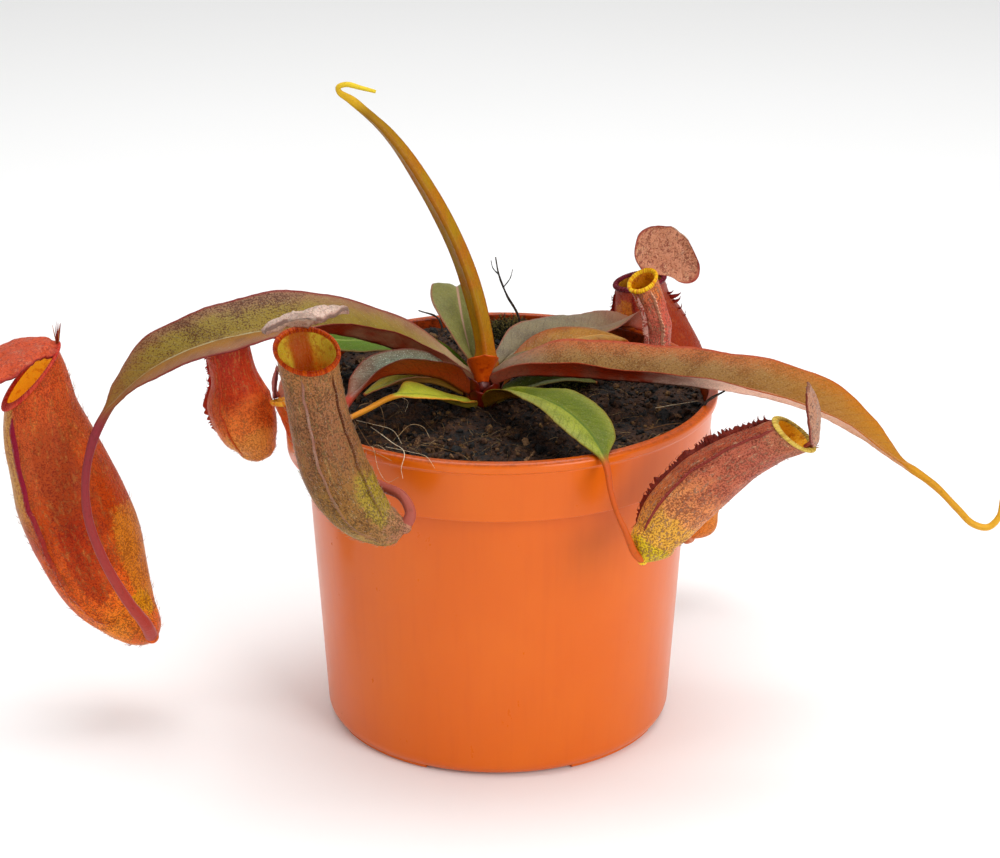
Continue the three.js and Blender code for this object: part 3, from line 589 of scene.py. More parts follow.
@dataclass(frozen=True)
class LeafFinish:
    """Colours of one leaf; left and right are as seen along the leaf from above.

    outer: colour toward both edges. tip: colour of the end, from tip_from on. lit_under_end: paler colour
    of the underside past its middle, made brighter than its own colour: painted light that cancels
    the shade on it. right_flecks: whether only the right half is flecked. fleck_from: where flecks
    start. base_reach: share of the length with the base colour. glint: pale sparks.
    """

    left: str
    right: str
    under: str
    edge: str = "8e3a2c"
    base: str = "b4582e"
    rib: str = "9a8a52"
    tendril: str = "a34a2c"
    tendril_end: str = "a34a2c"
    tip: str = ""
    tip_from: float = 0.72
    fleck: str = "5c4a30"
    flecks: float = 0.3
    right_flecks: bool = False
    fleck_from: float = -1.0
    lit_under_end: str = ""
    outer: str = ""
    base_reach: float = 0.16
    rough: float = 0.42
    glint: float = 0.0

    def material(self, name: str) -> Material:
        """Waxy leaf skin: two halves, rib, side veins, flecks, coloured edge, base and tendril."""
        s = Shader(name)
        along, across, under = s.parts("mark")
        length, width, _ = s.parts("span")
        flat = s.vector(length, width, under * 40.0)
        cloud = s.grain(flat, 7.0, 3.0, 0.55)
        fine = s.grain(flat, 0.52, 2.0, 0.65)
        grit = s.grain(flat, 1.2, 3.0, 0.7)
        body = s.mix(self.left, self.right, across.step(-0.16, 0.16))
        if self.outer:
            reach = (across.size() + (cloud - 0.5) * 0.5 + (grit - 0.5) * 0.3).step(0.45, 0.95)
            body = s.mix(body, self.outer, reach * 0.85)
        shade = s.mix(body, self.fleck, cloud.step(0.46, 0.72) * 0.28)
        side = across.step(-0.25, 0.25) if self.right_flecks else 1.0
        dots = (fine * 0.75 + grit * 0.25 + (cloud - 0.5) * 0.3).step(0.5, 0.56)
        dots = dots * along.step(self.fleck_from, self.fleck_from + 0.2)
        shade = s.mix(shade, self.fleck, dots * side * self.flecks)
        slant = (length * 0.9 - width.size() * 1.1 + (cloud - 0.5) * 2.2).sine().size()
        veins = slant.step(0.16, 0.0) * width.size().step(0.6, 1.6)
        shade = s.mix(shade, self.rib, veins * 0.14)
        shade = s.mix(shade, LEAF_SPECK, s.grain(flat, 0.45, 1.0).step(0.62, 0.7) * 0.25)
        rib = (width.size() + (fine - 0.5) * 0.3).step(0.62, 0.2)
        shade = s.mix(shade, self.rib, rib * 0.75)
        if self.glint:
            sparks = s.grain(flat, 0.34, 1.0, 0.5).step(0.62, 0.74)
            shade = s.mix(shade, LEAF_SPARK, sparks * self.glint)
        back = s.mix(self.under, self.base, cloud.step(0.35, 0.75) * 0.35)
        # Painted light: the underside's end is paler than its own colour, to cancel the shade that falls on
        # it.
        if self.lit_under_end:
            back = s.mix(back, self.lit_under_end, (along + (cloud - 0.5) * 0.2).step(0.34, 0.52))
        back = s.mix(back, self.fleck, dots * 0.25)
        back = s.mix(back, self.edge, width.size().step(0.7, 0.2) * 0.4)
        shade = s.mix(shade, back, under)
        rim = (across.size() + (fine - 0.5) * 0.06).step(0.9, 0.985)
        shade = s.mix(shade, self.edge, rim * 0.85)
        foot = (along + (cloud - 0.5) * 0.12).step(self.base_reach, self.base_reach * 0.25)
        shade = s.mix(shade, self.base, foot * (0.9 - under * 0.7))
        if self.tip:
            end = (along + (cloud - 0.5) * 0.15).step(self.tip_from, 1.0)
            shade = s.mix(shade, self.tip, end * 0.8)
        cord = s.mix(self.tendril, self.tendril_end, (along - 1.0).step(0.0, 0.9))
        cord = s.mix(cord, self.fleck, (s.grain(s.place(), 1.3, 2.0) - 0.5).step(0.05, 0.3) * 0.3)
        shade = s.mix(shade, cord, along.step(0.93, 1.01))
        rough = self.rough + (fine - 0.5) * 0.22 + (cloud - 0.5) * 0.12
        height = fine * 0.5 + veins * -0.5 + grit * 0.8 - rib * 0.4
        return s.close(shade, rough, s.relief(height, 0.16), subsurface_weight=0.06,
                       subsurface_radius=(0.6, 0.25, 0.1), subsurface_scale=0.0015,
                       specular_ior_level=0.16)


@dataclass(frozen=True)
class Leaf:
    """Folded blade that runs out into its tendril.

    rows: x, y, z of the keel, left and right half widths, left and right rise in degrees, or one
    half width and one rise where both halves are alike. tendril: x, y, z and radius. petiole: how
    much thicker the base is. wave and crinkle: height of the waves and the fine lumps. thin: how
    much thinner the edge is.
    """

    name: str
    rows: Rows
    tendril: Rows
    finish: LeafFinish
    reference: Triple = (0.0, 0.0, 1.0)
    thick: float = 0.8
    petiole: float = 2.0
    wave: float = 0.35
    crinkle: float = 0.1
    thin: float = 0.72
    ring_half: int = 21
    rings_per_row: int = 11
    rings_per_bend: int = 7

    def path(self) -> Path:
        """Line of the keel and the tendril."""
        return Path.through(tuple(self.rows) + tuple(self.tendril))

    def build(self) -> Thing:
        """Sweeps the leaf: upper face from the left edge to the right, lower face back.

        Each half rises from a rounded keel at its own angle, arches by reach * (1 - reach), thins
        toward its edge and waves there by two sines. The tendril is a round tube.

        Returns:
            The finished piece.
        """
        rows, count = len(self.rows), self.ring_half
        blade_rings = self.rings_per_row * (rows - 1)
        tendril_rings = self.rings_per_bend * len(self.tendril)
        at = np.concatenate([np.linspace(0, rows - 1, blade_rings + 1),
                             rows - 1 + np.linspace(0, len(self.tendril), tendril_rings + 1)[1:]])
        spans = rows + len(self.tendril) - 1
        path = self.path()
        centre = path.point(at / spans)
        tangent = path.tangent(at / spans)
        on_blade = at <= rows - 1 + 1e-9
        left = unit(np.cross(np.array(self.reference, float), tangent[on_blade]))
        if len(self.tendril):
            left = np.vstack([left, carried(left[-1], tangent[~on_blade])])
        normal = unit(np.cross(tangent, left))
        along = np.where(on_blade, at / (rows - 1), 1 + (at - rows + 1) / max(len(self.tendril), 1))
        length = np.concatenate([[0.0], np.cumsum(np.linalg.norm(np.diff(centre, axis=0), axis=1))])
        table = np.array([row if len(row) == 7 else (*row[:4], row[3], row[4], row[4])
                          for row in self.rows], float)
        base = np.clip(1 - along / BASE_SHARE, 0, 1)
        draw = np.random.default_rng(SEED + len(self.name) * 7 + int(abs(table[0, 0] * 10)))
        phase = draw.uniform(0, 6.28, 4)
        v = np.sin(np.linspace(-0.5, 0.5, count) * np.pi)
        reach = np.abs(v)
        width = np.where(v < 0, column(table[:, 3], at)[:, None], column(table[:, 4], at)[:, None])
        rise = np.radians(np.where(v < 0, column(table[:, 5], at)[:, None],
                                   column(table[:, 6], at)[:, None]))
        keel = KEEL_ROUND ** 0.5
        fold = (np.sqrt(reach ** 2 + KEEL_ROUND) - keel) / ((1 + KEEL_ROUND) ** 0.5 - keel)
        flat = np.cos(rise) * reach
        lift = np.sin(rise) * fold
        arch = ARCH * reach * (1 - reach)
        sign = np.where(v < 0, 1.0, -1.0)
        aside = width * sign * (flat - np.sin(rise) * arch)
        above = width * (lift + np.cos(rise) * arch)
        swing = (np.sin(length[:, None] / 6.5 + phase[0] + sign * phase[1])
                 + 0.6 * np.sin(length[:, None] / 3.1 + phase[2] + sign * phase[3]))
        above = above + self.wave * swing * reach ** 2 * np.clip(width / 6, 0, 1) * (1 - base[:, None])
        body = self.thick + self.petiole * base[:, None]
        pits = stacked(length[:, None] / 1.9, v * width / 1.9, 0.0)
        above = above + self.crinkle * layered(pits, 2, 21) * np.clip(width / 4, 0, 1)
        taper = body * (1 - self.thin * reach ** 2)
        near = np.exp(-(reach * width / 0.9) ** 2)
        groove = GROOVE * near * (1 - base[:, None])
        ridge = (RIDGE * (1 - base[:, None])) * np.exp(-(reach * width / 1.1) ** 2)
        face_side = -np.sin(rise) * sign
        face_up = np.cos(rise)

        def ring(offset: Array) -> Array:
            """Places at that height off the middle surface."""
            a = (aside + face_side * offset)[..., None] * left[:, None]
            return centre[:, None] + a + (above + face_up * offset)[..., None] * normal[:, None]

        rings = np.concatenate([ring(taper / 2 - groove), ring(-taper / 2 - ridge)[:, ::-1]], axis=1)
        if len(self.tendril):
            radii = np.array([table[-1, 3]] + [row[3] for row in self.tendril])
            thick = np.where(on_blade, table[-1, 3], column(radii, at - rows + 1))
            thick = thick * (1 + 0.05 * noise(np.stack([length / 2.5, 0 * length, 0 * length], -1)))
            angle = np.pi * (1 - (np.arange(2 * count) + 0.5) / count)
            round_ring = (centre[:, None]
                          - np.cos(angle)[:, None] * thick[:, None, None] * left[:, None]
                          + np.sin(angle)[:, None] * thick[:, None, None] * normal[:, None])
            share = ease(rows - 2, rows - 1, at)[:, None, None]
            rings = rings * (1 - share) + round_ring * share
        across = np.concatenate([v, v[::-1]])
        under = np.repeat([Zone.UPPER.value, Zone.LOWER.value], count)
        mark = stacked(along[:, None], across, under)
        width_mm = across * np.concatenate([width, width[:, ::-1]], axis=1)
        span = stacked(length[:, None], width_mm, 0.0)
        surface = Surface()
        surface.sweep(rings, mark, span)
        return surface.piece(f"{self.name}_skin", [self.name], self.finish)


# ---------- pitchers

WING_ANGLE = 0.58
WING_END = 0.965
WING_RINGS = 230
FRINGE_SHARE = 0.79
HAIR_END = 0.925
FURROW_WIDTH = 0.26
CUP_WALL = 0.8
LIP_ROLL = 1.3
LIP_RIB = 0.62
RIB_COLUMNS = 6
LID_DROOP = -8.0


@dataclass(frozen=True)
class Patch:
    """Soft coloured place on a cup's side, in radians from its front and in shares of its length."""

    colour: str
    angle: float
    along: float
    spread: float = 0.9
    reach: float = 0.25
    amount: float = 0.9


@dataclass(frozen=True)
class CupFinish:
    """Colours of one pitcher, from its foot to its mouth and inside.

    stops: shares of the length and their colours. front: colour between the wings, from front_from
    on. inside: near the mouth, deeper down, and spots. stripe: how strong the band inside the back
    is. lit: strength of a painted glow of the inside colour, which stands in for light that comes
    through the wall. wing_fade: how much of the wall's colour the wings take on toward the foot.
    """

    stops: Tuple[Tuple[float, str], ...]
    speck: str = "5e2a20"
    specks: float = 0.45
    glow: str = "d98a4a"
    glows: float = 0.3
    front: str = "b98a45"
    front_share: float = 0.6
    front_from: float = -1.0
    patches: Tuple[Patch, ...] = ()
    rim: Tuple[str, str] = ("c8602a", "8c2a1c")
    inside: Tuple[str, str, str] = ("a9a63a", "c0762c", "8a3a20")
    stripe: float = 0.0
    painted_glow: float = 0.18
    wing: str = "8e3030"
    seam: str = ""
    wing_fade: float = 0.0
    hair: str = "6a2c24"
    rough: float = 0.4
    coat: float = 0.02

    def material(self, name: str) -> Material:
        """Speckled fleshy shell, ribbed lip, waxy inside with a painted glow, dark wings, told apart by the
        zone.
        """
        s = Shader(name)
        along, ahead, zone = s.parts("mark")
        length, aside, strand = s.parts("span")
        place = s.place()
        cloud = s.grain(place, 6.0, 3.0, 0.6)
        fine = s.grain(place, 0.5, 2.0, 0.7)
        grit = s.grain(place, 1.1, 3.0, 0.75)
        dots = s.cells(place, 1.0).step(0.4, 0.26)
        streak = s.grain(s.vector(ahead * 9.0, aside * 9.0, length * 0.22), 0.9, 2.0, 0.6)
        lace = s.cells(s.vector(ahead * 9.0, aside * 9.0, length * 0.5), 1.5, "DISTANCE_TO_EDGE")
        shell = s.ramp(along + (cloud - 0.5) * 0.3 + (grit - 0.5) * 0.25,
                       [(p, rgb(c)) for p, c in self.stops])
        middle = (ahead + (grit - 0.5) * 0.12).step(0.80, 0.90)
        middle = middle * along.step(self.front_from, self.front_from + 0.22)
        shell = s.mix(shell, self.front, middle * self.front_share)
        for patch in self.patches:
            facing = ahead * math.cos(patch.angle) + aside * math.sin(patch.angle)
            near = facing.step(math.cos(patch.spread), math.cos(patch.spread * 0.35))
            level = (along - patch.along + (cloud - 0.5) * 0.16).size().step(patch.reach,
                                                                             patch.reach * 0.3)
            share = (near * level + (grit - 0.5) * 1.3).step(0.22, 0.62)
            shell = s.mix(shell, patch.colour, share * near.step(0.0, 0.2) * patch.amount)
        bright = (streak * 0.5 + fine * 0.5 + (grit - 0.5) * 0.4).step(0.52, 0.62)
        shell = s.mix(shell, self.glow, bright * self.glows)
        dark = fine * 1.2 - 0.1 + (grit - 0.5) * 0.3 + (cloud - 0.5) * 0.3 + (streak - 0.5) * 0.3
        dark = dark.step(0.5, 0.57)
        dark = dark.most(dots * (cloud + (grit - 0.5)).step(0.42, 0.56) * 0.9)
        shell = s.mix(shell, self.speck, dark * self.specks)
        shell = s.mix(shell, self.speck, lace.step(0.07, 0.0) * 0.18)
        stripes = s.grain(s.vector(ahead * 30.0, aside * 30.0, zone), 1.6, 1.0, 0.5).step(0.44, 0.6)
        lip = s.mix(self.rim[0], self.rim[1], stripes * 0.7)
        lip = s.mix(lip, self.rim[1], (cloud + (grit - 0.5) * 0.5).step(0.5, 0.7) * 0.5)
        well = s.mix(self.inside[0], self.inside[1],
                     (along + (cloud - 0.5) * 0.4 + (grit - 0.5) * 0.2).step(0.98, 0.78))
        spots = (s.grain(place, 1.5, 2.0, 0.6) + (grit - 0.5) * 0.3).step(0.52, 0.64)
        well = s.mix(well, self.inside[2], spots * 0.5)
        band = (ahead + (cloud - 0.5) * 0.1).step(-0.86, -0.97) * self.stripe
        well = s.mix(well, self.inside[2], band)
        fringe = s.mix(self.wing, self.hair, (fine + (cloud - 0.5)).step(0.42, 0.62) * 0.6)
        if self.seam:
            fringe = s.mix(fringe, self.seam, aside.step(0.0, 0.2))
        if self.wing_fade:
            fringe = s.mix(fringe, shell, along.step(0.75, 0.3) * self.wing_fade)
        strands = s.mix(self.hair, self.glow, strand.step(0.55, 0.95) * 0.5)
        skin, rolled, inner, outer = (zone.step(part.value - 0.7, part.value - 0.3) for part in
                                      (Zone.SHELL, Zone.RIM, Zone.INSIDE, Zone.WING))
        colour = s.mix(shell, lip, rolled)
        colour = s.mix(colour, well, inner)
        colour = s.mix(colour, fringe, outer)
        colour = s.mix(strands, colour, skin)
        rough = self.rough + (fine - 0.5) * 0.3 + (cloud - 0.5) * 0.12 - rolled * 0.14
        height = fine * 0.8 + grit * 0.9 + streak * 0.6 + lace.step(0.0, 0.2) * 0.25
        # Painted glow: the inside colour is emitted, standing in for light that comes through the thin
        # wall.
        through = s.mix((0, 0, 0, 1), well, inner * (1.0 - outer) * self.painted_glow)
        return s.close(colour, rough, s.relief(height, 0.3), subsurface_weight=0.1,
                       subsurface_radius=(0.8, 0.25, 0.1), subsurface_scale=0.002,
                       coat_weight=self.coat, coat_roughness=0.3, specular_ior_level=0.1,
                       emission_color=through, emission_strength=1.0)


@dataclass(frozen=True)
class Pitcher:
    """Hanging cup at a tendril's end, with its ribbed lip and the two fringed wings down its front.

    axis: x, y, z and radius, from the foot to the mouth. front: way that the wings face.
    tilt: slope of the mouth, higher at the back. breadth: width against depth. rim: size of the lip.
    furrow: angle, share of the length, reach and depth. tuft: count and length of the hairs behind
    the mouth. spikes: share of the length, angle and length. plump: how fast the foot swells.
    near_wing: height of the wing on the positive side against the other.
    """

    name: str
    leaf: Leaf
    axis: Rows
    front: Triple
    tilt: float
    breadth: float
    rim: float
    hollow_from: float
    wing: float
    finish: CupFinish
    wing_from: float = 0.14
    furrow: Tuple[float, float, float, float] = (0.0, 0.5, 0.3, 0.0)
    hairs: int = 160
    hair_length: float = 0.9
    tuft: Tuple[int, float] = (4, 2.4)
    fringe_gap: float = 1.0
    wing_thick: float = 0.36
    teeth: float = 0.25
    spikes: Tuple[Triple, ...] = ()
    lumpy: float = 0.22
    plump: float = 1.3
    near_wing: float = 1.0
    columns: int = 108
    levels: int = 110
    inner_levels: int = 46

    def rows(self) -> Array:
        """Axis rows, with the end of the leaf's tendril before them."""
        path = self.leaf.path()
        end = path.point(np.array([1.0]))[0] + 0.3 * path.tangent(np.array([1.0]))[0]
        return np.vstack([[*end, self.leaf.tendril[-1][3]], np.array(self.axis, float)])

    def point(self, t: Array, angle: Array, inset: Array = 0.0, lift: Array = 0.0) -> Array:
        """Places on the cup: a circle of the axis radius round the axis, sheared toward the mouth.

        Args:
            t: Share of the axis, 0 at the foot and 1 at the mouth.
            angle: Radians from the front.
            inset: Millimetres added to the radius.
            lift: Millimetres along the axis.

        Returns:
            Places of the broadcast shape, with three numbers each.
        """
        t, angle, inset, lift = np.broadcast_arrays(np.asarray(t, float), angle, inset, lift)
        rows = self.rows()
        path = Path(rows[:, :3])
        tangent = path.tangent(t)
        front = np.array(self.front, float)
        ahead = unit(front - tangent * (tangent @ front)[..., None])
        side = np.cross(tangent, ahead)
        first = np.clip(t * (len(rows) - 1), 0, 1)
        foot = self.plump * (rows[1, 3] - rows[0, 3]) * first * (1 - first)
        radius = column(rows[:, 3], t * (len(rows) - 1)) + foot + inset
        shear = -self.tilt * ease(0.5, 1.0, t) * radius * np.cos(angle)
        return (path.point(t) + ahead * (radius * np.cos(angle))[..., None]
                + side * (radius * np.sin(angle) * self.breadth)[..., None]
                + tangent * (shear + lift)[..., None])

    def shell(self, surface: Surface) -> None:
        """Adds the wall: up the outside with shallow lumps and a furrow, over the top, down inside."""
        angle = turns(self.columns, -np.pi)[None, :]
        t = np.linspace(0, 0.995, self.levels)[:, None]
        ring = stacked(np.cos(angle) * 3, np.sin(angle) * 3, t * 9)
        swell = self.lumpy * (noise(ring * 1.3, 3) + 0.7 * layered(ring * [0.6, 0.6, 1.1], 2, 5))
        at, along, reach, depth = self.furrow
        off = np.abs((angle - at + np.pi) % (2 * np.pi) - np.pi)

        def dent(share: Array) -> Array:
            """Depth of the furrow at those shares of the length."""
            return depth * np.exp(-(off / FURROW_WIDTH) ** 2) * np.exp(-((share - along) / reach) ** 4)

        fade = ease(0.0, 0.12, t) * (1 - ease(0.93, 1.0, t))
        outer = self.point(t, angle, (swell - dent(t)) * fade)
        roll = LIP_ROLL * self.rim
        top = self.point(1.0, angle, np.array([[0.0], [-0.45]]), np.array([[0.0], [0.35 * roll]]))
        down = np.linspace(0.99, self.hollow_from, self.inner_levels)[:, None]
        inner = self.point(down, angle, -CUP_WALL - dent(down) - self.lumpy * ease(1.0, 0.9, down))
        rings = np.concatenate([outer, top, inner])
        heights = np.concatenate([t[:, 0], [1.0, 1.0], down[:, 0]])
        zones = np.repeat([Zone.SHELL.value, Zone.RIM.value, Zone.INSIDE.value],
                          [self.levels, 2, len(down)])
        self.cover(surface, rings, heights, angle, zones)

    def cover(self, surface: Surface, rings: Array, heights: Array, angle: Array, zones: Array,
              poles: bool = True) -> None:
        """Adds swept rings with their marks: share of the length, cosine and sine of the angle."""
        length = heights * np.linalg.norm(np.diff(self.rows()[:, :3], axis=0), axis=1).sum()
        mark = stacked(heights[:, None], np.cos(angle), zones[:, None])
        span = stacked(length[:, None], np.sin(angle), 0.5)
        surface.sweep(rings, mark, span, poles)

    def lip(self, surface: Surface) -> None:
        """Adds the rolled lip: a closed egg-shaped section carried round the mouth, finely ribbed."""
        roll = LIP_ROLL * self.rim
        outline = np.array([(0.1, -0.95), (0.8, -0.8), (1.2, -0.25), (1.22, 0.3), (0.9, 0.8),
                            (0.35, 1.0), (-0.3, 0.92), (-0.8, 0.5), (-0.98, -0.1), (-0.85, -0.8),
                            (-0.4, -1.15)]) * roll
        turn = np.linspace(0, 1, 22, endpoint=False)
        loop = Path(np.hstack([np.vstack([outline[-2:], outline, outline[:2]]),
                               np.zeros((len(outline) + 4, 1))]))
        share = (2 + turn * len(outline)) / (len(outline) + 3)
        section = loop.point(share)[:, :2]
        radius = self.axis[-1][3]
        ribs = int(2 * np.pi * radius / LIP_RIB)
        columns = ribs * RIB_COLUMNS
        angle = turns(columns, -np.pi)[:, None]
        centre = section.mean(0)
        bulge = 1 + 0.075 * np.cos(angle * ribs) * ease(-0.9, 0.2, section[:, 1] / roll)
        wide = 1 + 0.14 * np.cos(2 * angle)
        inset = centre[0] + (section[:, 0] - centre[0]) * bulge * wide
        lift = centre[1] + (section[:, 1] - centre[1]) * bulge
        rings = self.point(1.0, angle, inset, lift)
        mark = stacked(1.0, np.cos(angle), Zone.RIM.value + 0 * inset)
        span = stacked(0.0, np.sin(angle), 0.5 + 0 * inset)
        surface.sweep(rings, mark, span, poles=False)

    def wings(self, surface: Surface) -> None:
        """Adds the two wings: a thin wavy ribbon that stands off the wall, and a hair at each gap."""
        roots, tips, starts = [], [], []
        draw = np.random.default_rng(SEED + len(self.name))
        size = np.linalg.norm(np.diff(self.rows()[:, :3], axis=0), axis=1).sum()
        for sign in (-1.0, 1.0):
            t = np.linspace(self.wing_from, WING_END, WING_RINGS)
            share = np.linspace(0, 1, WING_RINGS)
            ends = ease(0, 0.09, share) * ease(0, 0.05, 1 - share)
            size_here = self.wing * (self.near_wing if sign > 0 else 1.0)
            tall = size_here * (0.45 + 0.55 * np.sin(np.pi * share)) * ends
            line = np.stack([t * size / 2.6, 0 * t, 0 * t + sign], -1)
            beat = np.pi * (share * size * FRINGE_SHARE / self.fringe_gap + noise(line, 12))
            tooth = np.abs(np.sin(beat)) ** 1.5 * (0.6 + 0.4 * noise(line * 0.7, 14))
            ribbon = tall * (0.42 + 0.1 * noise(line, 4) + self.teeth * tooth) + 0.05
            angle = sign * (WING_ANGLE + 0.035 * noise(np.stack([t * 16, 0 * t, 0 * t], -1), 9))
            inner = self.point(t, angle, -0.45)
            foot = self.point(t, angle, 0.0)
            edge = self.point(t, angle + sign * 0.02 * ribbon, ribbon)
            across = unit(np.cross(edge - inner, self.point(t + 0.01, angle) - inner))
            thick = self.wing_thick * (0.25 + 0.75 * ends)[:, None]
            levels = [(inner, thick), (foot, 0.85 * thick), ((foot + edge) / 2, 0.55 * thick),
                      (edge, 0.09 + 0 * thick)]
            ring = [p + across * w for p, w in levels] + [p - across * w for p, w in levels[::-1]]
            rings = np.stack(ring, 1)
            mark = stacked(t[:, None], 0.84, Zone.WING.value + np.zeros((1, 8)))
            span = stacked(t[:, None] * size, 0.5 * sign, np.zeros((1, 8)))
            surface.sweep(rings, mark, span)
            count = int(size * FRINGE_SHARE / self.fringe_gap)
            at = np.linspace(self.wing_from + 0.01, HAIR_END, count) + draw.uniform(-0.3, 0.3, count) / size
            near = (at - self.wing_from) / (WING_END - self.wing_from)
            high = np.interp(near, share, tall)
            low = np.interp(near, share, ribbon)
            roots.append(self.point(at, np.interp(at, t, angle), low - 0.15))
            long = high * draw.uniform(0.55, 1.0, count)
            lean = draw.uniform(-0.02, 0.03, count)
            tips.append(self.point(at + lean, np.interp(at, t, angle) * draw.uniform(1.0, 1.15, count),
                                   np.maximum(long, low + 0.35)))
            starts.append(self.point(at, np.interp(at, t, angle), (low + long) / 2))
        lines = np.stack([np.concatenate(starts) * 0.5 + np.concatenate(roots) * 0.5,
                          np.concatenate(starts), np.concatenate(tips)], 1)
        lines = np.concatenate([np.concatenate(roots)[:, None], lines], 1)
        surface.strands(lines, np.array([0.16, 0.13, 0.09, 0.03]), 4,
                        np.array([0.5, 0.84, Zone.WING.value]), seed=7)

    def fuzz(self, surface: Surface) -> None:
        """Adds short hairs all over the wall and the dark tuft behind the mouth."""
        draw = np.random.default_rng(SEED + 31 + len(self.name))
        t = draw.uniform(0.05, 0.95, self.hairs)
        angle = draw.uniform(-np.pi, np.pi, self.hairs)
        high = self.hair_length * draw.uniform(0.45, 1.0, self.hairs)
        lines = np.stack([self.point(t, angle, -0.12), self.point(t + 0.004, angle, high * 0.55),
                          self.point(t + 0.014, angle, high)], 1)
        surface.strands(lines, np.array([0.075, 0.055, 0.02]), 3,
                        np.array([0.5, 0.0, Zone.HAIR.value]), seed=3)
        for share, turn, tall in self.spikes:
            high = np.array([-0.4, 0.35, 0.7, 1.0]) * tall
            lean = share + np.array([0.0, 0.0, 0.008, 0.022])
            surface.strands(self.point(lean, turn, high)[None], np.array([0.22, 0.17, 0.09, 0.02]) * tall,
                            6, np.array([0.5, 0.84, Zone.WING.value]), seed=9)
        count, long = self.tuft
        rows = self.rows()
        root = self.point(np.array([1.0]), np.pi, 0.2)[0]
        back = unit(root - Path(rows[:, :3]).point(np.array([1.0]))[0])
        up = Path(rows[:, :3]).tangent(np.array([1.0]))[0]
        side = np.cross(up, back)
        spread = draw.uniform(-1, 1, (count, 3))
        way = unit(up * 1.1 + back * (0.25 + 0.35 * spread[:, :1]) + side * 0.7 * spread[:, 1:2])
        reach = long * (0.6 + 0.4 * np.abs(spread[:, 2:3]))
        bend = side * 0.25 * spread[:, :1] * reach
        foot = root - way * 1.0 + side * 0.5 * spread[:, 1:2]
        lines = np.stack([foot, foot + way * reach * 0.4, foot + way * reach * 0.75 + bend * 0.4,
                          foot + way * (reach + 1.0) + bend], 1)
        surface.strands(lines, np.array([0.3, 0.22, 0.15, 0.04]), 5,
                        np.array([0.5, 0.0, Zone.HAIR.value]), seed=5)

    def knuckle(self, surface: Surface) -> None:
        """Adds the round joint where the tendril runs into the cup's foot."""
        row = self.rows()[0]
        level = np.linspace(0.08, np.pi - 0.08, 14)[:, None]
        turn = turns(24)[None, :]
        ball = stacked(np.sin(level) * np.cos(turn), np.sin(level) * np.sin(turn), np.cos(level))
        mark = np.array([0.0, 0.0, Zone.SHELL.value])
        surface.sweep(row[:3] + ball * row[3] * 1.1, mark, np.array([0.0, 0.0, 0.5]))

    def build(self) -> Thing:
        """Builds the cup, lip, wings and hairs as one piece that stands for the CAD cup."""
        surface = Surface()
        self.knuckle(surface)
        self.shell(surface)
        self.lip(surface)
        self.wings(surface)
        self.fuzz(surface)
        node = f"pitcher_{self.name}"
        return surface.piece(f"{node}_skin", [node], self.finish)


@dataclass(frozen=True)
class LidFinish:
    """Colours of one lid: outer face, inner face, edge and flecks."""

    upper: str
    under: str
    edge: str
    fleck: str = "6e2f2a"
    flecks: float = 0.5
    spot: str = "e0b090"
    spots: float = 0.25
    rough: float = 0.45

    def material(self, name: str) -> Material:
        """Thin speckled skin with a net of fan-shaped veins and pale glands."""
        s = Shader(name)
        along, across, under = s.parts("mark")
        length, width, _ = s.parts("span")
        flat = s.vector(length, width, under * 30.0)
        cloud = s.grain(flat, 4.0, 3.0, 0.6)
        fine = s.grain(flat, 0.5, 2.0, 0.65)
        net = s.cells(s.vector(length * 0.6, width, under * 9.0), 2.4, "DISTANCE_TO_EDGE")
        body = s.mix(self.upper, self.under, under)
        body = s.mix(body, self.spot, (cloud + (fine - 0.5) * 0.4).step(0.52, 0.74) * self.spots)
        grit = s.grain(flat, 0.8, 3.0, 0.75)
        dots = (fine * 0.4 + grit * 0.6 + (cloud - 0.5) * 0.35).step(0.5, 0.57)
        body = s.mix(body, self.fleck, dots * self.flecks)
        body = s.mix(body, self.fleck, net.step(0.06, 0.0) * 0.15)
        rim = (across.size() + (fine - 0.5) * 0.05).step(0.88, 0.99)
        body = s.mix(body, self.edge, rim * 0.8)
        body = s.mix(body, self.edge, along.step(0.12, 0.0) * 0.7)
        rough = self.rough + (fine - 0.5) * 0.25
        height = fine * 0.8 + grit + net.step(0.0, 0.15) * 0.5
        return s.close(body, rough, s.relief(height, 0.3), subsurface_weight=0.1,
                       subsurface_radius=(0.8, 0.25, 0.1), subsurface_scale=0.0015,
                       specular_ior_level=0.26)


def lid(name: str, rows: Rows, up: Triple, finish: LidFinish,
        wave: float = 0.35, crinkle: float = 0.25, thick: float = 1.0) -> Leaf:
    """Lid of a pitcher: a short blade with drooping halves and no tendril.

    Args:
        name: Name of the pitcher.
        rows: x, y, z of the keel and the half width, or the left and right half widths.
        up: Way that its outer face looks.
        finish: Its colours.
        wave: Height of its waves.
        crinkle: Height of its fine lumps.
        thick: Thickness.

    Returns:
        The lid, ready to build.
    """
    full = tuple((*row[:4], row[-1], LID_DROOP, LID_DROOP) for row in rows)
    return Leaf(f"lid_{name}", full, (), finish, reference=up, petiole=1.2, wave=wave,
                crinkle=crinkle, thick=thick, thin=0.5, rings_per_row=12, ring_half=31)


# ---------- crown, twigs, moss

@dataclass(frozen=True)
class SkinFinish:
    """Mottled skin in three colours, for the crown, twigs, moss and roots."""

    light: str
    middle: str
    dark: str
    pitch: float = 1.2
    rough: float = 0.7
    depth: float = 0.25

    def material(self, name: str) -> Material:
        """Three mixed tones, with a tone of its own for each strand."""
        s = Shader(name)
        _, _, strand = s.parts("span")
        place = s.place()
        cloud = s.grain(place, self.pitch * 3.0, 3.0, 0.6)
        fine = s.grain(place, self.pitch * 0.4, 2.0, 0.6)
        body = s.mix(self.dark, self.middle, (cloud + (strand - 0.5) * 0.6).step(0.3, 0.55))
        body = s.mix(body, self.light, (fine + (strand - 0.5) * 0.7).step(0.5, 0.85))
        return s.close(body, self.rough + (fine - 0.5) * 0.2, s.relief(fine + cloud, self.depth),
                       specular_ior_level=0.35)


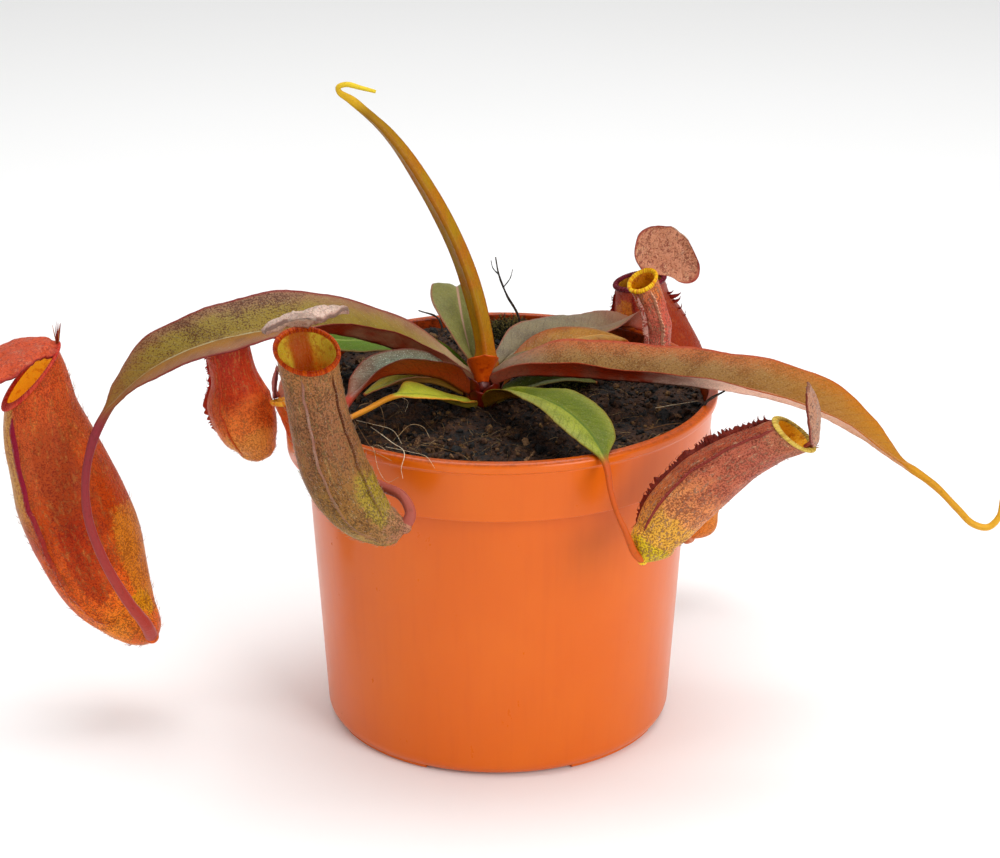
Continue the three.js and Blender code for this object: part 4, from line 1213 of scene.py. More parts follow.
@dataclass(frozen=True)
class Crown:
    """Short stem with the folded leaf bases that clasp it."""

    axis: Tuple[float, float] = (-5.0, -2.0)
    profile: Rows = ((84, 2.6), (88, 3.4), (97, 4.0), (103, 3.6), (106, 3.0), (108, 1.6))
    sheaths: Rows = (
        # turn, foot height, top height, foot reach, top reach, width
        (4.85, 106.5, 116.2, 2.6, 7.2, 7.4), (4.0, 101.0, 109.0, 4.4, 6.6, 4.8),
        (0.3, 96, 106.5, 4.2, 6.6, 4.4), (1.35, 95, 106.5, 4.0, 6.0, 4.2),
        (2.5, 96, 107.0, 4.2, 6.8, 4.6), (3.5, 96, 105.0, 4.2, 6.6, 4.6),
        (4.45, 95, 104.5, 4.4, 5.6, 4.6), (5.4, 96, 106.5, 4.0, 6.0, 4.4),
    )
    finish: SkinFinish = SkinFinish("cc5410", "9c340e", "42200f", 5.0, 0.4, 0.08)

    def build(self) -> Thing:
        """Turns the stem and folds a boat-shaped sheath round it at each leaf's turn."""
        surface = Surface()
        table = np.array(self.profile, float)
        level = np.linspace(0, len(table) - 1, 40)
        high, reach = column(table[:, 0], level), column(table[:, 1], level)
        angle = turns(40)
        bump = 1 + 0.06 * noise(stacked(np.cos(angle) * 2, np.sin(angle) * 2, high[:, None] / 1.6), 2)
        x, y = self.axis
        rings = stacked(x + reach[:, None] * bump * np.cos(angle),
                        y + reach[:, None] * bump * np.sin(angle), high[:, None])
        surface.sweep(rings, span=tone(0.3))
        for number, (turn, low, top, inner, outer, width) in enumerate(self.sheaths):
            share = np.linspace(0, 1, 26)[:, None]
            v = np.linspace(-1, 1, 15)[None, :]
            wide = width * np.sqrt(np.clip(1 - share ** 5, 0, 1)) * (0.3 + 0.7 * share)
            out = inner + (outer - inner) * share ** 1.6 + 0.4
            spread = turn + v * wide / out * 1.1
            thick = 0.55 * (1 - 0.7 * v ** 2) * (1 - 0.5 * share)

            def face(offset: Array, spread: Array = spread, out: Array = out, low: float = low,
                     top: float = top, share: Array = share) -> Array:
                """Sheath face at that offset from its middle."""
                radius = out - 0.5 * (spread - spread.mean()) ** 2 + offset
                height = low + (top - low) * share - 0.6 * np.abs(spread - spread.mean()) * 2
                return stacked(x + radius * np.cos(spread), y + radius * np.sin(spread), height)

            rings = np.concatenate([face(thick), face(-thick)[:, ::-1]], 1)
            surface.sweep(rings, span=tone(0.9 if number == 0 else 0.3))
        return surface.piece("crown", ["stem"], self.finish)


@dataclass(frozen=True)
class Twig:
    """Dead twig or root end that stands out of the soil, with side hairs."""

    name: str
    rows: Rows
    thick: float
    sides: Tuple[Rows, ...] = ()
    finish: SkinFinish = SkinFinish("54463a", "2a211c", "120e0c", 0.8, 0.85, 0.2)

    def build(self) -> Thing:
        """Carries a knobbly round section along each line."""
        surface = Surface()
        for number, rows in enumerate((self.rows,) + self.sides):
            t = np.linspace(0, 1, 14 * (len(rows) - 1) + 1)
            line = Path.through(rows).point(t)
            thick = self.thick / 2 if number == 0 else self.thick * 0.22
            knob = 1 + 0.22 * noise(np.stack([t * 9 + number, 0 * t, 0 * t], -1), 6)
            surface.strands(line[None], (thick * (1 - 0.55 * t) * knob)[None], 9, seed=number)
        return surface.piece(f"{self.name}_bark", [self.name], self.finish)


def soil_height(x: Array, y: Array) -> Array:
    """Height of the soil: two crossed waves, flatter toward the rim, with a slight slope."""
    lumps = (0.9 * np.sin(0.21 * x + 1.3) * np.cos(0.17 * y) + 0.6 * np.sin(0.39 * x + 0.31 * y))
    edge = ease(44, 60, np.hypot(x, y))
    return 98.0 + lumps * (1 - 0.6 * edge) + 0.035 * y


@dataclass(frozen=True)
class Moss:
    """Cushion of moss: a bumpy dome with leafy shoots all over it."""

    name: str
    at: Tuple[float, float]
    reach: Tuple[float, float]
    rise: float
    shoots: int
    tall: float = 1.0
    finish: SkinFinish = SkinFinish("6d6a30", "3c441b", "161b0b", 0.8, 0.8, 0.2)

    def build(self) -> Thing:
        """Sets each shoot on the dome, with narrow leaves in a spiral of the golden angle."""
        surface = Surface()
        x, y = self.at
        base = float(soil_height(np.array(x), np.array(y)))
        level = np.linspace(0.02, 1, 22)[:, None] * np.pi / 2
        angle = turns(60)[None, :]
        ring = stacked(np.cos(angle) * np.sin(level), np.sin(angle) * np.sin(level), np.cos(level))
        bump = 0.86 + 0.12 * layered(ring * 5, 2, 11)
        dome = ring * bump[..., None] * [*self.reach, self.rise] + [x, y, base - 0.4]
        brim = dome[-1:]
        floor = np.concatenate([brim - [0, 0, 2.0], (brim - [x, y, 0]) * [0.3, 0.3, 1]
                                + [x, y, -2.2]])
        surface.sweep(np.concatenate([dome, floor]), span=tone(0.3))
        draw = np.random.default_rng(SEED + self.shoots)
        turn = np.arange(self.shoots) * GOLDEN_ANGLE
        out = 0.97 * np.sqrt((np.arange(self.shoots) + 0.5) / self.shoots)
        out = np.clip(out + draw.uniform(-0.04, 0.04, self.shoots), 0, 0.99)
        normal = np.stack([out * np.cos(turn), out * np.sin(turn), np.sqrt(1 - out ** 2)], -1)
        foot = normal * 0.86 * [*self.reach, self.rise] + [x, y, base - 0.3]
        way = unit(normal * [1, 1, 1.6] + 0.35 * draw.normal(size=(self.shoots, 3)))
        long = self.tall * draw.uniform(1.2, 2.6, self.shoots)[:, None]
        surface.strands(np.stack([foot - way * 0.3, foot + way * long * 0.6, foot + way * long], 1),
                        np.array([0.14, 0.11, 0.05]), 3, seed=1)
        leaves = 11
        share = (np.arange(leaves) + 0.5) / leaves
        spiral = np.arange(leaves) * GOLDEN_ANGLE + draw.uniform(0, 6.28, (self.shoots, 1))
        side = unit(np.cross(way, [0.31, 0.2, 0.93]))
        other = np.cross(way, side)
        radial = (side[:, None] * np.cos(spiral)[..., None] + other[:, None] * np.sin(spiral)[..., None])
        root = foot[:, None] + way[:, None] * (long * share)[..., None]
        tip = root + (radial * 0.8 + way[:, None] * 0.55) * (0.55 + 0.5 * (1 - share))[:, None]
        middle = (root + tip) / 2 + way[:, None] * -0.06
        lines = np.stack([root, middle, tip], 2).reshape(-1, 3, 3)
        surface.strands(lines, np.array([0.1, 0.15, 0.02]), 3, seed=2)
        return surface.piece(f"{self.name}_cushion", [self.name], self.finish)


# ---------- soil

@dataclass(frozen=True)
class SoilFinish:
    """Moist peat: black-brown crumbs with paler fibres and bits of bark."""

    dark: str = "22160b"
    middle: str = "463019"
    light: str = "80603a"

    def material(self, name: str) -> Material:
        """Crumbs in three tones by cells and noise."""
        s = Shader(name)
        _, _, strand = s.parts("span")
        place = s.place()
        cloud = s.grain(place, 7.0, 4.0, 0.65)
        fine = s.grain(place, 0.7, 3.0, 0.7)
        crumbs = s.cells(place, 1.6)
        tone = cloud + (fine - 0.5) * 0.7 + (strand - 0.5) * 0.5
        body = s.mix(self.dark, self.middle, tone.step(0.36, 0.6))
        body = s.mix(body, self.light, (tone + (crumbs - 0.4) * 0.3).step(0.66, 0.95))
        rough = 0.75 + (fine - 0.5) * 0.4
        height = fine + crumbs.step(0.7, 0.1) * 0.8 + cloud * 0.6
        return s.close(body, rough, s.relief(height, 0.7), specular_ior_level=0.4)


@dataclass(frozen=True)
class Soil:
    """Potting soil: the filled block, loose crumbs, bark, fibres and pale roots on it.

    wall: radius and height of the rings down the pot's wall. crumbs: count, half size and height
    over the top, for each size. The reaches are the discs that each kind is scattered over;
    rim_reach and fibre_limit keep crumbs and fibres inside the wall. long_roots: thickness and
    course of each root.
    """

    top_radius: float = 61.0
    segments: int = 300
    rings: int = 150
    wall: Rows = ((47.0, 2.8), (49.0, 4.6), (55.0, 84.0), (60.9, 89.0))
    rim_reach: float = 60.3
    crumb_reach: float = 60.0
    chip_reach: float = 58.0
    fibre_reach: float = 57.0
    fibre_limit: float = 59.5
    crumbs: Rows = ((2600, 0.45, 0.1), (900, 0.9, 0.25), (240, 1.6, 0.4))
    chips: int = 150
    fibres: int = 620
    finish: SoilFinish = SoilFinish()
    fibre: SkinFinish = SkinFinish("8a7454", "553e2a", "2a1c12", 1.0, 0.85, 0.05)
    root: SkinFinish = SkinFinish("e8d8b8", "b8966a", "6e4c2a", 1.5, 0.6, 0.05)
    chip: SkinFinish = SkinFinish("8a6a4c", "4c3424", "1e140e", 1.2, 0.8, 0.3)
    long_roots: Tuple[Tuple[float, Rows], ...] = ()

    def surface_at(self, x: Array, y: Array) -> Array:
        """Height of the crumbled top: the soil height with three octaves of lumps on it."""
        flat = np.stack([x, y, 0 * x], -1)
        rough = 1.3 * layered(flat / 7.0, 2, 40) + 0.75 * np.abs(layered(flat / 2.6, 2, 44))
        return soil_height(x, y) + rough * 0.8 - 0.1

    def block(self) -> Thing:
        """Builds the block: rings in from the rim over the crumbled top, and down the pot's wall."""
        angle = turns(self.segments)[None, :]
        radius = self.top_radius * np.linspace(1, 0.004, self.rings)[:, None]
        x, y = radius * np.cos(angle), radius * np.sin(angle)
        top = np.stack([x, y, self.surface_at(x, y)], -1)
        low = np.stack([stacked(r * np.cos(angle[0]), r * np.sin(angle[0]), z)
                        for r, z in self.wall])
        surface = Surface()
        surface.sweep(np.concatenate([low, top]), span=tone(0.5))
        draw = np.random.default_rng(SEED)
        for count, size, rise in self.crumbs:
            turn, out = scattered(draw, count, self.crumb_reach)
            sizes = size * draw.uniform(0.5, 1.25, (count, 1)) * draw.uniform(0.6, 1.2, (count, 3))
            out = np.minimum(out, self.rim_reach - sizes.max(1))
            x, y = out * np.cos(turn), out * np.sin(turn)
            surface.lumps(np.stack([x, y, self.surface_at(x, y) + rise], -1), sizes,
                          SEED + count)
        return surface.piece("soil_block", ["soil"], self.finish)

    def litter(self) -> None:
        """Scatters bark chips, short fibres and the long pale roots on the soil."""
        draw = np.random.default_rng(SEED + 5)
        chips = Surface()
        count = self.chips
        turn, out = scattered(draw, count, self.chip_reach)
        x, y = out * np.cos(turn), out * np.sin(turn)
        sizes = draw.uniform(0.5, 1.0, (count, 1)) * np.array([2.2, 1.1, 0.45])
        chips.lumps(np.stack([x, y, self.surface_at(x, y) + 0.5], -1), sizes, SEED + 9, 0.2)
        chips.piece("soil_bark", [], self.chip, smooth=False)
        fibres = Surface()
        count = self.fibres
        turn, out = scattered(draw, count, self.fibre_reach)
        heading = draw.uniform(0, 2 * np.pi, count)
        long = draw.uniform(3, 15, count) * draw.uniform(0.4, 1.0, count)
        bend = draw.normal(0, 0.55, count)
        step = np.linspace(0, 1, 9)[None, :]
        course = heading[:, None] + bend[:, None] * step
        x = (out * np.cos(turn))[:, None] + np.cumsum(np.cos(course), 1) * long[:, None] / 9
        y = (out * np.sin(turn))[:, None] + np.cumsum(np.sin(course), 1) * long[:, None] / 9
        away = np.hypot(x, y)
        pull = np.minimum(1.0, self.fibre_limit / away)
        x, y = x * pull, y * pull
        loft = draw.uniform(0.1, 1.3, (count, 1)) * np.sin(step * np.pi) + 0.2
        lines = np.stack([x, y, self.surface_at(x, y) + loft], -1)
        fibres.strands(lines, draw.uniform(0.04, 0.1, (count, 1)), 4, seed=8)
        fibres.piece("soil_fibres", [], self.fibre)
        roots = Surface()
        for number, (thin, rows) in enumerate(self.long_roots):
            t = np.linspace(0, 1, 8 * (len(rows) - 1) + 1)
            line = Path.through(rows).point(t)
            roots.strands(line[None], (thin * (1 - 0.6 * t))[None], 5, seed=number)
        roots.piece("soil_roots", [], self.root)

    def build(self) -> None:
        """Builds the block and what lies on it."""
        self.block()
        self.litter()


# ---------- pot

@dataclass(frozen=True)
class PotFinish:
    """Glossy orange plastic that lets a little light in at its edges."""

    body: str = "d4641a"
    deep: str = "b04812"
    pale: str = "dc7028"
    dirt: str = "4a2c1a"
    # Painted shade: darker orange for the inside wall above the soil, also laid on the lip's top.
    inner: str = "8a3412"
    rough: float = 0.3

    def material(self, name: str) -> Material:
        """Moulded plastic: faint drawn streaks, scuffs, painted shade on the inside wall above the soil,
        and soil dust near the lip inside.
        """
        s = Shader(name)
        place = s.place()
        split = s.node("ShaderNodeSeparateXYZ", {}, {0: place})
        x, y, z = (Field(s, split.outputs[k]) for k in range(3))
        cloud = s.grain(place, 26.0, 3.0, 0.5)
        drawn = s.grain(s.vector(x, y, z * 0.06), 2.4, 2.0, 0.5)
        body = s.mix(self.body, self.pale, cloud.step(0.35, 0.75) * 0.3)
        body = s.mix(body, self.deep, drawn.step(0.45, 0.8) * 0.08)
        radius = s.number("ShaderNodeVectorMath", {"operation": "LENGTH"},
                          {0: s.vector(x, y, 0.0)}, "Value")
        within = radius.step(62.5, 62.2) * z.step(84.0, 90.0)
        crest = z.step(102.9, 103.7) * (1.0 - within)
        fine = s.grain(place, 1.1, 3.0, 0.7)
        # Painted shade on the inside wall above the soil; the top of the lip is darkened with the same
        # tone.
        body = s.mix(body, self.inner, within * 0.85)
        body = s.mix(body, self.inner, crest * 0.45)
        body = s.mix(body, self.dirt, fine.step(0.45, 0.6) * (within + crest * 0.5) * 0.6)
        scuff = s.grain(s.vector(x, y, z * 0.5), 5.0, 4.0, 0.7)
        rough = self.rough + (scuff - 0.5) * 0.12 + (fine - 0.5) * 0.04
        height = s.grain(s.vector(x, y, z * 0.4), 14.0, 1.0) + fine * 0.03
        return s.close(body, rough, s.relief(height, 0.12), subsurface_weight=0.06,
                       subsurface_radius=(1.0, 0.4, 0.12), subsurface_scale=0.003,
                       coat_weight=0.07, coat_roughness=0.12, specular_ior_level=0.3)


@dataclass(frozen=True)
class Pot:
    """Round nursery pot: tapered body, collar band and rolled lip, drain holes and feet."""

    height: float = 104.0
    lip_radius: float = 65.0
    collar_radius: float = 62.8
    collar_height: float = 18.3
    body_top: float = 57.0
    body_base: float = 51.8
    wall: float = 1.5
    foot: float = 0.9
    hub: float = 8.0
    drains: int = 4
    drain_radius: float = 4.0
    drain_circle: float = 33.0
    segments: int = 288
    feet_count: int = 4
    foot_turn: float = 0.45
    foot_span: float = 0.68
    sharp: float = 38.0
    finish: PotFinish = PotFinish()

    def profile(self) -> Array:
        """Half section from the hub, out under the floor, up outside, over the lip, down inside."""
        step = self.height - self.collar_height
        floor = self.foot + self.wall
        lip, collar = self.lip_radius, self.collar_radius
        corners = [
            (0.4, 0, 0), (self.hub, 0, 0.2), (self.hub + 0.5, self.foot, 0.3),
            (self.body_base - 1.6, self.foot, 0.8), (self.body_base, 3.0, 1.6),
            (self.body_top - 0.3, step - 5.0, 3.0), (self.body_top, step, 0.9),
            (collar - 0.15, step, 0.55), (collar + 0.7, self.height - 3.4, 0.9),
            (lip - 0.2, self.height - 2.9, 0.5), (lip, self.height - 0.9, 0.6),
            (lip - 0.9, self.height, 0.6), (lip - 3.0, self.height, 0.6),
            (collar - self.wall, step + 3, 1.5), (self.body_top - self.wall, step - 1.4, 1.5),
            (self.body_base - self.wall - 0.4, floor + 1.6, 1.2),
            (self.body_base - self.wall - 2.4, floor, 1.0), (0.4, floor, 0),
        ]
        places = [np.array(corner[:2], float) for corner in corners]
        line = [places[0]]
        for before, here, after, (_, _, radius) in zip(places, places[1:], places[2:], corners[1:]):
            a, b = before - here, after - here
            cut = [min(radius, 0.45 * np.linalg.norm(v)) / np.linalg.norm(v) for v in (a, b)]
            w = np.linspace(0, 1, 7)[:, None]
            start, end = here + a * cut[0], here + b * cut[1]
            line.extend((1 - w) ** 2 * start + 2 * w * (1 - w) * here + w ** 2 * end)
        line.append(places[-1])
        return np.array(line)

    def feet(self) -> Array:
        """Places of the foot ribs under the floor's edge, one block of rings for each."""
        rings = []
        for number in range(self.feet_count):
            start = number / self.feet_count * 2 * np.pi + self.foot_turn
            angle = np.linspace(start, start + self.foot_span, 25)
            section = [(self.body_base - 1.9, 0.25), (self.body_base - 2.2, 0.0),
                       (self.body_base - 5.7, 0.0), (self.body_base - 6.0, 0.25),
                       (self.body_base - 6.0, 1.4), (self.body_base - 1.9, 1.4)]
            rings.append(np.stack([np.stack([r * np.cos(angle), r * np.sin(angle), z + 0 * angle], -1)
                                   for r, z in section], 1))
        return np.array(rings)

    def build(self) -> Thing:
        """Turns the profile, adds the feet and drills the drain holes through the floor."""
        section = self.profile()
        angle = turns(self.segments)
        rings = np.stack([section[:, :1] * np.cos(angle), section[:, :1] * np.sin(angle),
                          np.broadcast_to(section[:, 1:], (len(section), self.segments))], -1)
        surface = Surface()
        surface.sweep(rings)
        made = surface.piece("pot_moulding", ["pot"], self.finish)
        tools = Surface()
        for block in self.feet():
            tools.sweep(block)
        feet = tools.thing("pot_feet", made.data.materials[0])
        drills = Surface()
        turn = turns(40)
        for number in range(self.drains):
            around = (number + 0.5) / self.drains * 2 * np.pi
            x, y = self.drain_circle * np.cos(around), self.drain_circle * np.sin(around)
            ring = np.stack([x + self.drain_radius * np.cos(turn), y + self.drain_radius * np.sin(turn),
                             0 * turn], -1)
            drills.sweep(np.stack([ring - [0, 0, 2], ring + [0, 0, 6]]))
        drill = drills.thing("pot_drills", made.data.materials[0])
        for tool, operation in ((feet, "UNION"), (drill, "DIFFERENCE")):
            cut = made.modifiers.new(tool.name, "BOOLEAN")
            cut.operation = operation
            cut.solver = "EXACT"
            cut.object = tool
        graph = bpy.context.evaluated_depsgraph_get()
        cut_mesh = bpy.data.meshes.new_from_object(made.evaluated_get(graph), depsgraph=graph)
        made.modifiers.clear()
        made.data = cut_mesh
        for tool in (feet, drill):
            bpy.data.objects.remove(tool)
        made.data.polygons.foreach_set("use_smooth", np.ones(len(made.data.polygons), bool))
        made.data.set_sharp_from_angle(angle=math.radians(self.sharp))
        return made


# ---------- this plant

LEAF_TABLE = (
    Leaf(
        "leaf_young_upright",
        ((-4.4, -2.6, 105.6, 6, 25), (-3.8, -2, 109.6, 5.4, 38), (-3.9, -0.8, 115, 4, 46),
         (-7, 1.5, 130, 4.2, 4.8, 50, 50), (-12.6, 3.5, 146, 3.9, 4.6, 50, 50),
         (-21.4, 4.6, 163, 3.6, 4.2, 52, 52), (-31.5, 5, 178, 2.7, 52), (-41.5, 4, 188.5, 1.3, 45)),
        ((-45.4, 3.5, 191.4, 0.9), (-45.6, 3, 193, 0.8), (-43.2, 2.5, 193.9, 0.8),
         (-39.4, 2, 193.1, 0.7), (-34.9, 2, 191.9, 0.5)),
        LeafFinish("9e9e35", "a08a2c", "a0771e", edge="8e4a1c", base="c44c20", rib="94823c",
                   tendril="d0a430", tendril_end="dcc03c", tip="947028", fleck="6e4c1c", flecks=0.35,
                   outer="a68726", base_reach=0.4),
        reference=(0.0, 1.0, 0.0), petiole=1.4),
    Leaf(
        "leaf_small_back",
        ((-6.5, 1.5, 107, 3, 2.5, 55, 55), (-8.4, 5, 112, 5, 4, 40, 40),
         (-10.4, 11, 118.5, 7.6, 5.5, 25, 25), (-11.6, 18, 123, 8.8, 6, 12, 15),
         (-12.4, 26, 124.8, 7.4, 5, 8, 12), (-13, 33, 122, 3.8, 2.5, 8, 12),
         (-13.4, 37, 118.5, 0.7, 10)),
        ((-13.8, 42, 112.5, 0.7), (-14.2, 46, 105.5, 0.6)),
        LeafFinish("797644", "716e3d", "7c6e4c", edge="8a5a48", rib="a8806e", fleck="5a5838", flecks=0.35,
                   base="8a7a48"),
        petiole=1),
    Leaf(
        "leaf_far_left",
        ((-6.5, -2.5, 104.4, 3.2, 60), (-12.7, -3.5, 107.8, 4.2, 4.6, 58, 55),
         (-20, -4.5, 112, 6, 8, 55, 44), (-32.1, -7, 118, 8, 12, 50, 38),
         (-44.4, -10, 122.6, 9.5, 13.2, 36, 38), (-57.2, -13, 125, 10.5, 13.6, 20, 38),
         (-71.4, -16, 124.9, 11, 13.4, 5, 35), (-85.7, -18.5, 122, 10.6, 12.8, -2, 33),
         (-98.7, -20, 116, 8, 11.4, -2, 32), (-109, -21, 107.6, 3.2, 6, 2, 30),
         (-115.4, -22.5, 99, 1.4, 1.6, 0, 20)),
        ((-119.4, -25, 86, 1.2), (-119.2, -28, 73, 1.3), (-115, -30, 60, 1.4), (-109, -29, 47, 1.6),
         (-104.4, -24.5, 37, 1.8), (-103.6, -18, 30, 2)),
        # The grey-pink base colour is partly the leaf's own paler base and partly painted sheen near the
        # crown.
        LeafFinish("926535", "877234", "7e3226", edge="7a2a2c", rib="b0a886", tendril="883a40",
                   tendril_end="a8463e", tip="8a5636", fleck="4e2e1c", flecks=0.85, right_flecks=True,
                   outer="8e6450", base="a08a6a", base_reach=0.3, fleck_from=0.36)),
    Leaf(
        "leaf_long_right",
        ((-1.6, -2.6, 105.2, 3.2, 60), (4.5, -4, 108, 5.5, 4, 50, 58),
         (14, -6.5, 109.2, 10, 5.5, 46, 55), (30, -9, 109, 12.2, 6.5, 46, 50),
         (46, -11, 108.5, 12.2, 7, 43, 42), (62, -13, 107.5, 12, 7.5, 40, 35),
         (78, -15, 105.5, 12.4, 8, 42, 28), (93, -17, 101, 11.2, 8, 43, 24),
         (105.5, -18.5, 94.5, 8.2, 6.5, 38, 22), (115, -19.5, 88, 4, 3.5, 30, 20),
         (121.5, -20, 84, 1.2, 10)),
        ((128, -20, 79, 1.1), (134.5, -20, 72.2, 1), (139.5, -20, 67.2, 1), (144, -20, 66.2, 1),
         (147, -20, 69.5, 0.9), (147.6, -20, 75, 0.7)),
        # The pale end of its underside is partly its own colour and partly painted light that cancels its
        # shade.
        LeafFinish("8a683f", "d0a48c", "8e3426", edge="a0402c", rib="b06a50", tendril="c48a2c",
                   tendril_end="d9a43a", tip="bc7c28", fleck="5e3c22", flecks=0.62, tip_from=0.45,
                   outer="ab592d", base="7c6a5a", base_reach=0.26, lit_under_end="f6d2bc")),
    Leaf(
        "leaf_back_right",
        ((-2.2, 0.8, 105, 2.8, 2.8, 50, 55), (2.8, 7.5, 108.4, 4.6, 4.6, 32, 20),
         (9.5, 16, 110.4, 7.8, 7.5, 28, 0), (20.3, 27, 110, 9.4, 8.8, 20, -8),
         (31.3, 38.5, 107.6, 9, 8.5, 16, 18), (41.6, 48.5, 104.8, 7, 8.5, 20, 55),
         (49.2, 55, 100, 3.6, 5, 20, 55), (54.2, 59, 94, 1.2, 1.2, 0, 10)),
        ((58.6, 61, 80, 1.1), (60.6, 60.5, 64, 1.2), (61, 60, 48, 1.3), (60.8, 62, 34, 1.4),
         (61.2, 67, 25, 1.6), (62.4, 71.6, 23.4, 1.8)),
        LeafFinish("7c7058", "7c684c", "8e3a28", edge="8a5444", rib="9a8c74", tendril="8a4030",
                   tendril_end="c0642c", fleck="5c5048", flecks=0.4, tip="a8402c", tip_from=0.45,
                   base="8a7a58")),
    Leaf(
        "leaf_left_back",
        ((-7.6, 0.8, 102.8, 2.6, 50), (-13.5, 5, 107, 4, 40), (-24, 9.5, 110.6, 7.5, 7, 15, 30),
         (-37, 14, 111.6, 8.5, 8, 0, 25), (-50, 18.5, 110.6, 6.5, 6, 0, 20),
         (-59, 21, 110, 2.6, 2.6, 0, 10), (-63.5, 22, 110, 1, 0)),
        ((-70.5, 23, 111, 1), (-76.5, 24, 109, 1), (-80, 24.6, 102, 1), (-80.4, 24, 92, 1.1),
         (-78.4, 21.5, 82, 1.2), (-75, 16, 77, 1.4), (-73.4, 11.5, 77, 1.5)),
        LeafFinish("5e781e", "5c761c", "7a7a40", edge="7a5a38", rib="9aaa5a", tendril="a03a2a",
                   tendril_end="b0402a", fleck="405a24", flecks=0.3, base="7f8a40")),
    Leaf(
        "leaf_brown_back",
        ((-1.6, -0.2, 102.4, 2.4, 55), (4.5, 4, 105.6, 4, 4, 45, 25),
         (12.5, 8.5, 109.4, 6.5, 6.5, 30, 10), (21, 13.5, 111.8, 7.2, 7, 22, 5),
         (29, 18.5, 112, 6, 6, 12, 0), (35.5, 22.5, 110.2, 3, 3, 5, -10), (38.5, 24, 108, 1, 0)),
        ((41.5, 25, 103.5, 1), (44, 25.5, 100.4, 1.2)),
        LeafFinish("9a6a31", "a5793b", "a2522e", edge="8e4a2c", rib="b88a52", tendril="a5452c",
                   tendril_end="a5452c", fleck="6e4a2a", flecks=0.35, base="a0703a", outer="8c4a28")),
    Leaf(
        "leaf_left_mid",
        ((-7.5, -4.2, 101.8, 2.8, 60), (-11.5, -8, 105.5, 4, 4.5, 55, 50),
         (-17, -12.5, 110.2, 7, 7.5, 50, 42), (-25, -18, 113.6, 8, 8.4, 50, 42),
         (-33, -23, 114.4, 7.5, 8, 48, 40), (-39, -27.5, 112.6, 4.8, 4.8, 40, 30),
         (-42.8, -32.5, 110.4, 1.3, 10)),
        ((-43.6, -40, 110.4, 1.2), (-43, -50, 108.6, 1.2), (-41, -57, 103.6, 1.2),
         (-37, -60.5, 98.4, 1.3), (-31.5, -64, 97, 1.4), (-26.2, -69, 96.2, 1.5),
         (-24, -72.5, 92.6, 1.6), (-25.4, -74, 89.6, 1.7)),
        LeafFinish("a0a39c", "717866", "8a3826", edge="6a3a34", rib="8a7c70", tendril="a04438",
                   tendril_end="a0564a", fleck="34322a", flecks=0.35, glint=0.7, outer="6a5e4c",
                   base="9c4a30", base_reach=0.2, tip="843a28", tip_from=0.6)),
    Leaf(
        "leaf_olive_left",
        ((-8, -3, 100.8, 2.2, 50), (-13.5, -6, 104.4, 3.2, 3.2, 42, 40),
         (-21, -9.6, 108, 4.8, 5, 35, 25), (-29, -13, 109, 4.4, 4.5, 30, 20), (-36, -16, 108, 1.8, 10),
         (-39, -17.2, 106.8, 0.6, 0)),
        (),
        LeafFinish("a29c38", "a0903c", "a0703e", edge="a86a52", rib="a8a458", fleck="5e6a2e", flecks=0.3,
                   base="9a7a3a")),
    Leaf(
        "leaf_olive_right",
        ((-1.2, -2.5, 99.4, 2.2, 50), (4.5, 0, 100.8, 4, 30), (12.5, 3.5, 102.6, 5.5, 5.5, 12, 15),
         (20.5, 6.5, 102.8, 4.5, 4.5, 5, 8), (27, 8.5, 101.6, 2, 0), (29.5, 9.2, 100.8, 0.6, 0)),
        (),
        LeafFinish("5c6436", "666a3c", "6a5c34", edge="6a5a34", rib="7c7c48", fleck="42482a", flecks=0.35,
                   base="8a6a38")),
    Leaf(
        "leaf_front_right",
        ((-3.6, -5.8, 99.2, 2.4, 50), (-0.5, -10.5, 102.6, 4, 4, 35, 45),
         (4.5, -17, 106.2, 6, 6, 16, 35), (10.5, -26, 109, 8.5, 8, 8, 22),
         (16.8, -35.5, 110.2, 9.2, 8.6, 6, 14), (22.5, -45, 109.2, 8.8, 8, 6, 10),
         (27, -54, 106.8, 6.4, 5.4, 8, 10), (30, -62, 102.4, 1, 0)),
        ((31, -68, 97.6, 0.8), (32.6, -72, 93, 0.8), (35.2, -74, 87.5, 0.9), (37.6, -73.5, 81.5, 1.1),
         (39.8, -71.5, 78.4, 1.3)),
        # The right half is paler than the left: painted sheen over the leaf's own green.
        LeafFinish("626c1d", "91973c", "7a5426", edge="7a6a30", rib="4e642a", tendril="b8532c",
                   tendril_end="c05a2c", fleck="3e5218", flecks=0.35, base="b9863a", base_reach=0.14,
                   outer="86883e")),
    Leaf(
        "leaf_yellow_green",
        ((-6.4, -5.6, 98.8, 1.9, 50), (-11.6, -10.8, 101.4, 3.6, 4, 20, 30),
         (-18, -17, 105.8, 5, 5.6, 8, 26), (-25, -22, 108.6, 4, 4.8, 5, 26),
         (-30.7, -26, 109.2, 0.9, 0)),
        ((-37.6, -32, 107.6, 0.8), (-44, -37.5, 106.4, 0.8), (-50.6, -43, 105.8, 0.8),
         (-54, -46.8, 103.6, 0.8), (-54.2, -47.4, 101.2, 0.9)),
        LeafFinish("c2cc44", "c8ca48", "b8a040", edge="d88a3a", rib="b8c45a", tendril="d08a34",
                   tendril_end="c87a30", fleck="7a9a34", flecks=0.25, outer="d0b848", base="b0963a")),
)
LEAVES = {leaf.name: leaf for leaf in LEAF_TABLE}

